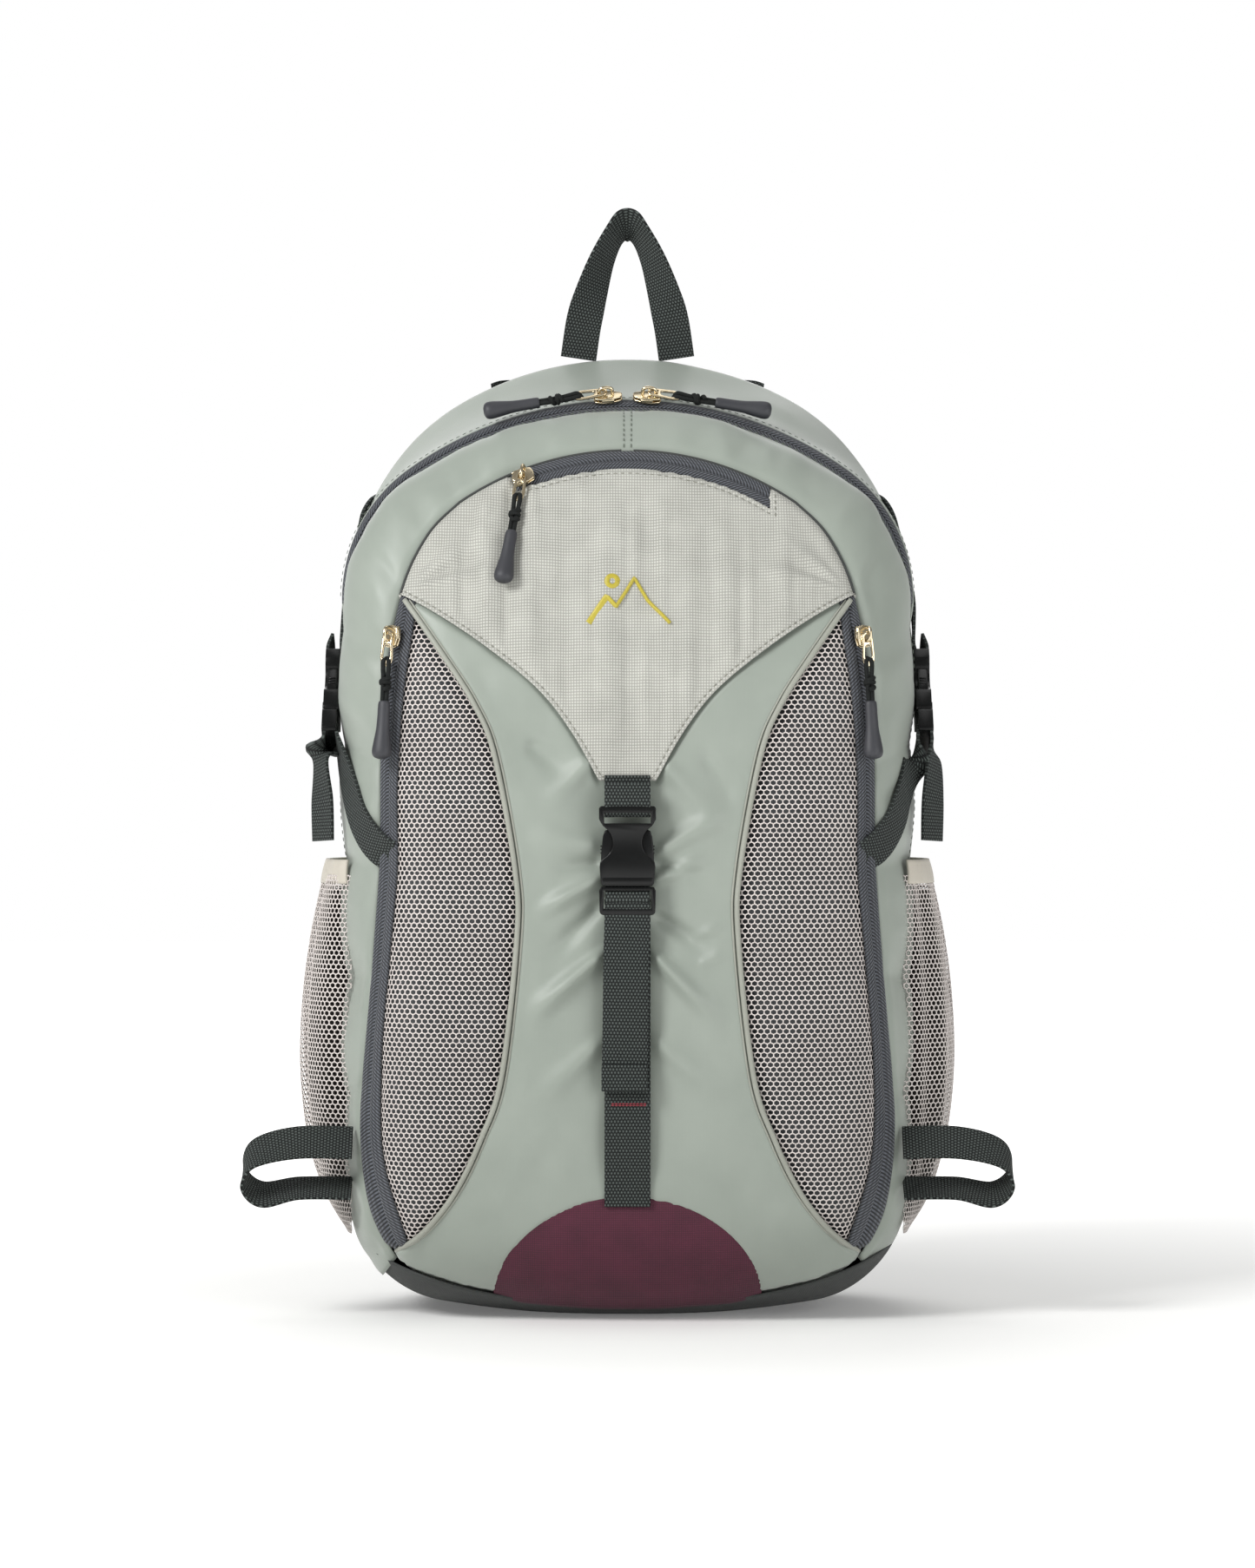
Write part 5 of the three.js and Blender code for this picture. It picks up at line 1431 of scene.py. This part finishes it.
def tubeBm(points, radius, sides=8, closed=False):
    # A round bar through points in a small part's own frame.
    points = np.array(points, float)
    radius = np.broadcast_to(radius, len(points))
    bm = bmesh.new()
    loops = []
    tangent = np.gradient(points, axis=0)
    if closed:
        tangent = np.roll(points, -1, axis=0) - np.roll(points, 1, axis=0)
    tangent /= np.linalg.norm(tangent, axis=1, keepdims=True)
    aside = np.cross(tangent[0], (0.13, 0.21, 1))
    for point, step, size in zip(points, tangent, radius):
        aside = aside - step * aside.dot(step)
        aside /= np.linalg.norm(aside)
        up = np.cross(step, aside)
        pose = Matrix((Vector(aside), Vector(up), Vector(step))).transposed().to_4x4()
        made = bmesh.ops.create_circle(bm, segments=sides, radius=float(size),
                                       matrix=Matrix.Translation(point) @ pose)
        loops.append([e for e in bm.edges if e.verts[0] in made["verts"] and e.verts[1] in made["verts"]])
    pairs = list(zip(loops, loops[1:] + ([loops[0]] if closed else [])))
    for a, b in pairs if closed else pairs[:len(loops) - 1]:
        bmesh.ops.bridge_loops(bm, edges=a + b)
    if not closed:
        bmesh.ops.holes_fill(bm, edges=[e for e in bm.edges if e.is_boundary], sides=0)
    bmesh.ops.recalc_face_normals(bm, faces=bm.faces)
    return bm


def flatPlate(outline, holes, low, high, bevel, segments=2):
    # A plate that lies flat, from one height to another.
    bm = mouldedPlate(outline, holes, -high, -low, bevel, segments)
    laid = Matrix(((1, 0, 0, 0), (0, 0, 1, 0), (0, -1, 0, 0), (0, 0, 0, 1)))
    bmesh.ops.transform(bm, matrix=laid, verts=bm.verts)
    return bm


def sliderParts(turn, nose):
    # A shield-shaped crown over a base plate, side walls between them, and a bridge for the pull.
    height = sliderForm["height"]
    half = [(-6 - nose, 1.3), (-5 - nose, 2.6), (-4.2, 4.5), (1.5, 4.75), (5.2, 3.6), (6, 1.6)]
    crown = [*[(x, -y) for x, y in half], *half[::-1]]
    parts = [flatPlate(crown, [], height - 1.3, height, 0.45, 3), flatPlate(crown, [], 0.1, 1.3, 0.35, 2)]
    for y in (-4.3, 4.3):
        parts.append(flatPlate([(-5.2, y - 0.4), (1.5, y - 0.45), (1.5, y + 0.45), (-5.2, y + 0.4)], [], 1.0,
                               height - 0.8, 0.2, 1))
    bow = [(-4.4, 0, height - 0.6), (-4.3, 0, 6.2), (-3.2, 0, 7.5), (-0.8, 0, 7.9), (1.6, 0, 7.4),
           (2.7, 0, 6.0),
           (2.8, 0, height - 0.6)]
    bridge = tubeBm(spline(bow, 26), 0.95, 8)
    bmesh.ops.rotate(bridge, verts=bridge.verts, cent=(0, 0, 0), matrix=Matrix.Rotation(turn, 3, "Z"))
    return parts + [bridge]


def tabParts():
    # A cast pull: a wide eye round the bridge, a long slot, and a rounded end the cord goes through.
    long = sliderForm["tab"]
    outline = [*arc((0.4, 0), 2.7, 90, 270, 9), (4.5, -3.1), (long - 3.0, -3.5),
               *arc((long - 1.6, 0), 3.3, -60, 60, 7),
               (long - 3.0, 3.5), (4.5, 3.1)]
    eye = [*arc((0.9, 0), 1.6, 90, 270, 7), (3.4, -1.6), (3.4, 1.6)]
    slot = [*arc((6.4, 0), 1.5, 90, 270, 6), *arc((long - 3.6, 0), 1.9, -90, 90, 6)]
    return [flatPlate(outline, [eye, slot], 4.5, 5.9, 0.42, 3)]


def cordParts():
    # Thin cord doubled through the tab and tied in an overhand knot ahead of the grip.
    long, end = sliderForm["tab"], sliderForm["reach"]
    parts = []
    for y in (-1.0, 1.0):
        leg = [(long - 2.2, y * 0.9, 5.2), (long - 0.6, y * 1.5, 6.1), (long + 3, y * 1.5, 5.6),
               (long + 9, y * 1.2, 5.2), (end - 24, y * 0.9, 5.2)]
        parts.append(tubeBm(spline(leg, 22), 1.25, 8))
    eye = [(long - 2.2, 0.9, 5.2), (long - 3.0, 0.5, 3.9), (long - 3.2, -0.5, 3.9), (long - 2.2, -0.9, 5.2)]
    parts.append(tubeBm(spline(eye, 8), 1.0, 8))
    turns = np.linspace(0, 4.6 * math.pi, 44)
    knot = np.stack([long + 7.5 + 1.3 * turns / math.pi + 0.9 * np.sin(turns * 0.5), 2.3 * np.cos(turns),
                     5.2 + 1.9 * np.sin(turns)], 1)
    parts.append(tubeBm(knot, 1.2, 7))
    return parts


def gripParts():
    # Moulded soft grip: a slim neck that swells to a bulb, with a moulded ring.
    end = sliderForm["reach"]
    stations = [(end - 31, 2.0), (end - 30.6, 2.8), (end - 29, 3.2), (end - 23, 3.3), (end - 16, 3.6),
                (end - 10, 4.5),
                (end - 5, 5.2), (end - 2.4, 5.0), (end - 0.9, 3.9), (end - 0.1, 1.8)]
    line = spline(stations, 34)
    bm = tubeBm(np.stack([line[:, 0], 0 * line[:, 0], 5.2 + 0 * line[:, 0]], 1), line[:, 1], 16)
    bmesh.ops.scale(bm, vec=(1, 1, 0.85), verts=bm.verts, space=Matrix.Translation((0, 0, -5.2)))
    turns = np.linspace(0, 2 * math.pi, 20)[:-1]
    ring = tubeBm([(end - 26.6, 2.9 * math.cos(t), 5.2 + 2.1 * math.sin(t)) for t in turns],
                  0.5, 6, closed=True)
    return [bm, ring]


def makePull(name, origin, travel, outward, pullWay, roll=0.0, sliderRoll=0.0, nose=0.0):
    def pose(way, roll=0.0):
        # roll leans the limp pull's face towards the front of the bag
        z = unit(outward - way * outward.dot(way))
        pivot = np.asarray(origin, float) + z * 5.2
        ahead = unit(np.array([0, -1.0, 0]) - way * -way[1])
        z = unit(z * math.cos(roll) + unit(ahead - z * ahead.dot(z) + 1e-9) * math.sin(roll))
        return basis(pivot - z * 5.2, way, np.cross(z, way), z)
    turn = math.atan2(np.cross(travel, pullWay).dot(outward), travel.dot(pullWay))
    joinParts(f"{name}_slider_casting", sliderParts(turn, nose), pose(travel, sliderRoll), "metal",
              f"{name}_slider",
              (f"{name}_slider",))
    joinParts(f"{name}_tab_casting", tabParts(), pose(pullWay, roll), "metal", f"{name}_pull",
              (f"{name}_pull_tab",))
    joinParts(f"{name}_grip_moulding", gripParts(), pose(pullWay, roll), "rubber", f"{name}_pull",
              (f"{name}_pull_grip",))
    joinParts(f"{name}_cord", cordParts(), pose(pullWay, roll), "webbing", f"{name}_pull", ())


def makePulls():
    turn = math.radians(sliderForm["mainTurn"])
    arch = bagForm["zipArch"]
    for side, mirror in (("left", -1), ("right", 1)):
        out = np.array([mirror * math.sin(turn), 0, math.cos(turn)])
        way = np.array([mirror * math.cos(turn), 0, -math.sin(turn)])
        hub = np.array([0, bagForm["zipY"], arch["top"] - arch["radius"]])
        origin = hub + out * (arch["radius"] + sliderForm["mainGap"])
        drooped = turn + 0.1
        hang = np.array([mirror * math.cos(drooped), 0, -math.sin(drooped)])
        makePull(f"main_{side}", origin, way, out, hang, 0.85, 0.6, 3.6)
        (sx, sz), (ex, ez) = sliderForm["meshStart"], sliderForm["meshEnd"]
        lift = sliderForm["meshGap"]
        point = onFront(mirror * sx, sz, lift)
        startOut = onFront(mirror * sx, sz, 1) - onFront(mirror * sx, sz, 0)
        endOut = onFront(mirror * ex, ez, 1) - onFront(mirror * ex, ez, 0)
        outward = unit(startOut + endOut)
        way = unit(onFront(mirror * (sx + 0.45), sz - 12, lift) - point)
        makePull(f"mesh_{side}", point, way, outward, way, 0.45)
    turn = math.radians(pocketZip["fromTurn"]) + 0.035
    r = seams["archRadius"] - pocketZip["width"] / 2
    x, z = r * math.sin(turn), archCentre + r * math.cos(turn)
    point = onFront(x, z, 0.8)
    normal = unit(onFront(x, z, 1.8) - point)
    travel = np.array([math.cos(turn), 0, -math.sin(turn)])
    travel = unit(travel - normal * travel.dot(normal))
    makePull("pocket", point, travel, normal, unit(onFront(x - 9, z - 56, 2.8) - point))
    print("pulls done")


makePulls()


def onYoke(flat, lift):
    flat = np.asarray(flat, float)
    return frontPath(flat, yokeLift(flat[:, 0], flat[:, 1]) + lift)


def onGusset(fromShare, toShare, back, count):
    # A seam line on the front gusset, at a distance ahead of the main zip.
    u = np.linspace(fromShare, toShare, count)
    ends, _ = gussetFront(u, np.zeros(count))
    stops, _ = gussetFront(u, np.ones(count))
    depth = np.maximum(stops[:, 1] - ends[:, 1], 1)
    points, _ = gussetFront(u, 1 - back / depth)
    outward = points - np.array([0, 0, bagForm["centreZ"]])
    outward[:, 1] = 0
    outward = unitRows(outward)
    return points + outward * 0.55, outward


def makeStitches():
    line = evenly(yokeLine, 300)
    tangent = np.gradient(line, axis=0)
    normal = np.stack([-tangent[:, 1], tangent[:, 0]], 1)
    normal = unitRows(normal)
    normal *= np.sign(normal[:, 1:2] + 1e-9)
    piece = stitchRow("yoke_edge_stitch", [onYoke(line + normal * 2.2, 1.1)], "greyThreadAndShade", width=0.7)
    foldWith(piece)
    r = seams["archRadius"] - pocketZip["width"] - 2.4
    endX = pocketEndX + 2.8
    turns = np.linspace(math.radians(pocketZip["fromTurn"] - 1), math.asin(endX / r), 200)
    under = np.stack([r * np.sin(turns), archCentre + r * np.cos(turns)], 1)
    across = np.linspace(r, seams["archRadius"] - 2, 16)
    beside = np.stack([0 * across + endX, archCentre + np.sqrt(across ** 2 - endX ** 2)], 1)
    rows = [onYoke(under, 1.1), onYoke(beside, 1.1)]
    piece = stitchRow("pocket_zip_stitch", rows, "greyThreadAndShade", "lid", width=0.7)
    rows = [onGusset(0.2, 0.8, 3.0, 700)]
    for side in (-1, 1):
        v = np.linspace(0.04, 0.96, 46)
        u = np.full_like(v, 0.5 + side * 1.9 / gussetRun[-1])
        points, _ = gussetFront(u, v)
        outward = np.stack([0 * v, -0.4 + 0 * v, 0.9 + 0 * v], 1)
        rows.append((points + outward * 0.55, outward))
    piece = stitchRow("gusset_zip_stitch", rows, "sageThreadAndShade", "lid", width=0.7)
    angle = np.linspace(tapeEnds[0], tapeEnds[1], 500)
    behind = wallPath(angle, np.full(500, bagForm["zipY"] + zipHalf + 3), zipTilt["rear"] + 0.5)
    piece = stitchRow("rear_zip_stitch", [behind], "sageThreadAndShade", "bag")
    print("stitching done")


makeStitches()

emblemForm = dict(x=1.0, z=382.0, width=43.0, height=26.0, band=3.9)


def makeEmblem():
    # A hill line with a small sun, worked in satin stitch.
    form = emblemForm
    w, h = form["width"] / 2, form["height"] / 2
    peaks = [(-w, -h), (-w * 0.55, h * 0.05), (-w * 0.33, -h * 0.35), (w * 0.12, h * 0.85),
             (w * 0.45, -h * 0.05),
             (w * 0.62, -h * 0.35), (w, -h)]
    ridgeLine = []
    for a, b in zip(peaks, peaks[1:]):
        ridgeLine += [(a[0] + (b[0] - a[0]) * t, a[1] + (b[1] - a[1]) * t)
                      for t in np.linspace(0, 1, 20)[:-1]]
    ridgeLine.append(peaks[-1])
    sun = arc((-w * 0.42, h * 0.7), 2.9, 0, 350, 28)
    for index, (line, closed) in enumerate(((ridgeLine, False), (sun, True))):
        flat = np.array(line) + (form["x"], form["z"])
        if closed:
            flat = np.concatenate([flat, flat[:1]])
        path = onFront(flat[:, 0], flat[:, 1], yokeLift(flat[:, 0], flat[:, 1]) + 0.45)
        width = form["band"] / 2 * (1.0 if not closed else 0.8)
        piece = tubeAlong(f"emblem_{index}", path, width, "emblem", None, 12, 0.55)
        foldWith(piece)
    print("emblem done")


makeEmblem()


backForm = dict(thickness=12.0, inset=6.0, shell=3.0)
harnessForm = dict(width=65.0, thickness=12.0)
restY = bagForm["backY"] - backForm["shell"] + backForm["thickness"]


def makeBack():
    line = np.concatenate([backSide, backSide[::-1][1:-1] * (-1, 1)])
    centre = np.array([0, 270.0])
    line = evenly(np.concatenate([line, line[:1]]), 161)[:-1]
    line = line + (centre - line) / np.linalg.norm(centre - line, axis=1, keepdims=True) * backForm["inset"]
    line[:, 1] = np.maximum(line[:, 1], 4.5)
    y0 = bagForm["backY"] - backForm["shell"]
    face = 0.86  # the share of the sheet that is the pad's face, the rest turns over its edge

    def padShape(u, v):
        turn = u * len(line)
        i = np.floor(turn).astype(int) % len(line)
        t = (turn - np.floor(turn))[:, None]
        edge = line[i] * (1 - t) + line[(i + 1) % len(line)] * t
        share = np.clip(v / face, 0, 1)
        point = centre + (edge - centre) * share[:, None]
        x, z = point[:, 0], point[:, 1]
        rim = (1 - share ** 14)
        aside = np.minimum(np.abs(np.abs(x) - 46), 60)
        channel = np.exp(-(aside / 5.0) ** 2) * smooth(60, 90, z) * (1 - smooth(430, 460, z))
        cross = sum(np.exp(-((z - level - 0.05 * np.abs(x)) / 4.5) ** 2) for level in (120, 215, 310, 405))
        thick = backForm["thickness"] * (0.45 + 0.55 * rim ** 0.5)
        thick = thick - 4.2 * np.maximum(channel, cross * 0.9) * rim
        y = np.where(v > face, y0 + thick * (1 - (v - face) / (1 - face)), y0 + thick)
        return np.stack([x, np.maximum(y, y0 + 0.1), z], 1), (x, z)

    pad = gridCloth("back_panel_pad", 160, 90, padShape, "foam", 0.8, "bag", lambda c: (0, 1, 0))
    pad.modifiers.clear()
    weld(pad.data, 1e-5)
    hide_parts("back_panel")
    print("back panel done")


makeBack()


def makeBackTrim():
    # Piping round the seam that joins the walls to the back.
    y = bagForm["backY"]
    angle = np.linspace(math.radians(-90), math.radians(270), 361)
    ring = onWall(angle, np.full(361, y - 0.5), -1.0)
    ring[:, 2] = np.maximum(ring[:, 2], 2.4)
    cord = tubeAlong("back_seam_piping", ring, 2.2, "sage", "bag", 10, capped=False)
    print("back trim done")


makeBackTrim()


def makeHarness():
    inside, steps = restY + harnessForm["thickness"] / 2 + 1.5, 140
    pad = [[-46, inside, 508], [-48, inside + 0.5, 490], [-58, inside + 20, 462], [-72, inside + 38, 415],
           [-84, inside + 43, 350], [-90, inside + 37, 270], [-88, inside + 19, 204], [-84, inside + 7, 170]]
    for side, mirror in (("left", -1), ("right", 1)):
        line = spline([[-x * mirror, y, z] for x, y, z in pad], steps + 1)
        tangent = unitRows(np.gradient(line, axis=0))
        across = np.array([1.0, 0, 0]) - tangent * tangent[:, :1]
        across = unitRows(across)
        thick = np.cross(tangent, across)
        run = runAlong(line)

        taper = 0.72 + 0.28 * smooth(0, 36, np.arange(steps + 1))

        def mapping(u, v):
            i = np.rint(v * steps).astype(int)
            turn = u * 2 * math.pi
            c, s = np.cos(turn), np.sin(turn)
            endFade = np.minimum(v, 1 - v) * steps
            endWidth = 0.9 + 0.1 * smooth(0, 5, endFade)
            a = np.sign(c) * np.abs(c) ** 0.35 * harnessForm["width"] / 2 * endWidth * taper[i]
            b = np.sign(s) * np.abs(s) ** 0.7 * harnessForm["thickness"] / 2
            b = b * (0.55 + 0.45 * smooth(0, 4, endFade))
            groove = 1.3 * np.exp(-((np.abs(a) - harnessForm["width"] / 2 * taper[i] + 6) / 1.6) ** 2)
            b = b - np.sign(b) * np.minimum(groove, np.abs(b))
            return line[i] + across[i] * a[:, None] + thick[i] * b[:, None], (a, run[i])

        mesh = flatSheet(f"shoulder_strap_{side}_pad", 48, steps, mapping)
        weld(mesh, 1e-5)
        piece = addPiece(f"shoulder_strap_{side}_pad", mesh, "foam", "bag")
        rows = []
        for edge in (-1, 1):
            for face in (-1, 1):
                inset = edge * (harnessForm["width"] / 2 * taper - 6)[:, None]
                path = line + across * inset + thick * face * (harnessForm["thickness"] / 2 * 0.86 - 0.9)
                rows.append((path[12:-4], (thick * face)[12:-4]))
        seam = stitchRow(f"shoulder_strap_stitch_{side}", rows, "blackThread", "bag", 2.4, 1.4, 0.7)
        for edge in (-1, 1):
            rim = (line + across * edge * (harnessForm["width"] / 2 * 0.985 * taper)[:, None])[3:]
            cordPiece = tubeAlong(f"shoulder_strap_binding_{side}_{edge + 1}", rim, 2.0, "webbing", "bag", 10)
        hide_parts(f"shoulder_strap_{side}")
        lockX, lockTop, lockBack = 83.5 * mirror, 163, restY + 4.5
        pose = basis((lockX, 0, 0), (1, 0, 0), (0, 1, 0), (0, 0, 1))
        outline = [*arc((12.4, 161.4), 1.6, 0, 90, 4), *arc((-12.4, 161.4), 1.6, 90, 180, 4),
                   *arc((-12.4, 140.6), 1.6, 180, 270, 4), *arc((12.4, 140.6), 1.6, 270, 360, 4)]
        upper = [(-11, 156), (11, 156), (11, 160), (-11, 160)]
        lower = [(-11, 143), (11, 143), (11, 151), (-11, 151)]
        joinParts(f"ladder_lock_{side}_moulding", [mouldedPlate(outline, [upper, lower], lockBack,
                                                                lockBack + 3.6, 0.6, 3)],
                  pose, "plastic", "bag", (f"ladder_lock_{side}",))
        wide = [1, 0, -0.3 * mirror]
        webbing = [[lockX, restY + 1.8, lockTop - 1, 1, 0, 0], [lockX, restY + 2, lockTop - 10, 1, 0, 0],
                   [lockX, lockBack + 1.8, lockTop - 16, 1, 0, 0],
                   [lockX, lockBack + 6, lockTop - 22, 1, 0, 0],
                   [lockX + 6 * mirror, lockBack + 5, lockTop - 45, *wide],
                   [lockX + 24 * mirror, restY + 6, 90, *wide],
                   [lockX + 37 * mirror, restY + 1.8, 42, *wide]]
        stripPiece(f"shoulder_webbing_{side}_strip", webbing, strapForm["narrow"], strapForm["thickness"],
                   nodes=(f"shoulder_webbing_{side}",), steps=110)
    over = inside + harnessForm["thickness"] / 2 + 1.4
    anchor = [[-75, restY - 0.5, 500], [-71, restY + 6, 502], [-66, over - 1.2, 503], [-58, over, 503],
              [-34, over, 503],
              [-27, over - 1.6, 503], [-21, restY + 6, 503], [-14, restY + 1.6, 503], [0, restY + 1.2, 503]]
    anchor = anchor + [[-x, y, z] for x, y, z in anchor[-2::-1]]
    stripPiece("strap_anchor_webbing", [[*point, 0, 0, 1] for point in anchor], strapForm["narrow"],
               strapForm["thickness"], steps=220)
    print("harness done")


makeHarness()


def makeInside():
    # The stiffening board, and a cloth sleeve for a water bladder whose mouth has a bound hem.
    board = bpy.data.objects["frame_sheet"]
    board.data.materials.clear()
    board.data.materials.append(materials["board"])
    rounded = board.modifiers.new("edges", "BEVEL")
    rounded.width = 0.0006
    rounded.segments = 2
    corners = [np.array(corner) * 1000 for corner in bpy.data.objects["hydration_sleeve"].bound_box]
    low, high = np.min(corners, axis=0), np.max(corners, axis=0)
    front = low[1] - yShift

    def sleeve(u, v):
        x = low[0] + (high[0] - low[0]) * u
        z = low[2] + (high[2] - low[2]) * v
        rim = np.sin(math.pi * u) ** 0.5 * smooth(0, 0.06, v)
        slack = (0.8 + 0.7 * softNoise(x / 26, z / 40, 6)) * rim
        return np.stack([x, front + 1.2 - slack, z], 1), (x, z)

    cloth = gridCloth("hydration_sleeve_cloth", 60, 90, sleeve, "lining", 0.7, "bag", forward)
    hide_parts("hydration_sleeve")
    u = np.linspace(0.02, 0.98, 60)
    mouth, _ = sleeve(u, np.full(60, 0.995))
    hem = tubeAlong("hydration_sleeve_hem", mouth, 1.6, "webbing", "bag", 10)
    print("inside done")


makeInside()


view = dict(distance=2600.0, height=284.5, lens=110.0)


def makeStudio():
    camera = bpy.data.objects.new("camera", bpy.data.cameras.new("camera"))
    bpy.context.scene.collection.objects.link(camera)
    camera.location = (0, (yShift - view["distance"]) / 1000, view["height"] / 1000)
    camera.rotation_euler = (math.pi / 2, 0, 0)
    camera.data.lens = view["lens"]
    camera.data.sensor_fit = "VERTICAL"
    camera.data.sensor_height = 36
    bpy.context.scene.camera = camera
    world = bpy.data.worlds.new("studio")
    bpy.context.scene.world = world
    world.use_nodes = True
    tree = world.node_tree
    tree.nodes.clear()
    rays = addNode(tree, "ShaderNodeLightPath")
    room = addNode(tree, "ShaderNodeBackground", {"Color": (1, 1, 1, 1), "Strength": 0.3})
    sweep = addNode(tree, "ShaderNodeBackground", {"Color": (1, 1, 1, 1), "Strength": 1.0})
    mix = addNode(tree, "ShaderNodeMixShader", links={0: rays.outputs["Is Camera Ray"], 1: room.outputs[0],
                                                      2: sweep.outputs[0]})
    addNode(tree, "ShaderNodeOutputWorld", links={"Surface": mix.outputs[0]})
    bpy.context.scene.view_settings.view_transform = "Standard"
    lamps = [  # place, size, strength
        ((-1.3, -1.25, 1.35), 0.7, 34), ((1.5, -1.6, 0.7), 1.2, 14), ((0.2, 0.2, 2.2), 1.2, 6),
        ((-0.2, 1.6, 1.2), 1.5, 12)]
    for index, (place, size, power) in enumerate(lamps):
        data = bpy.data.lights.new(f"softbox_{index}", "AREA")
        data.size = size
        data.energy = power
        lamp = bpy.data.objects.new(f"softbox_{index}", data)
        lamp.location = place
        lamp.rotation_euler = (Vector((0, 0, 0.28)) - lamp.location).to_track_quat("-Z", "Y").to_euler()
        bpy.context.scene.collection.objects.link(lamp)
    bm = bmesh.new()
    bmesh.ops.create_grid(bm, x_segments=1, y_segments=1, size=6, matrix=Matrix.Translation((0, 0, -0.0005)))
    floor = bpy.data.objects.new("floor", meshFrom(bm, "floor"))
    bpy.context.scene.collection.objects.link(floor)
    material, tree, shader = startMaterial("pale_paper_sweep", 0.9)
    shader.inputs["Base Color"].default_value = srgb("#f4f4f2")
    shader.inputs["Emission Color"].default_value = (1, 1, 1, 1)
    where = addNode(tree, "ShaderNodeTexCoord")
    far = addNode(tree, "ShaderNodeVectorMath", {"operation": "LENGTH"}, {0: where.outputs["Object"]})
    glow = addNode(tree, "ShaderNodeMapRange",
                   {"From Min": 0.25, "From Max": 1.6, "To Min": 0.12, "To Max": 1.0},
                   {"Value": far.outputs["Value"]})  # lit paper that fades into the white room
    tree.links.new(glow.outputs[0], shader.inputs["Emission Strength"])
    floor.data.materials.append(material)


makeStudio()
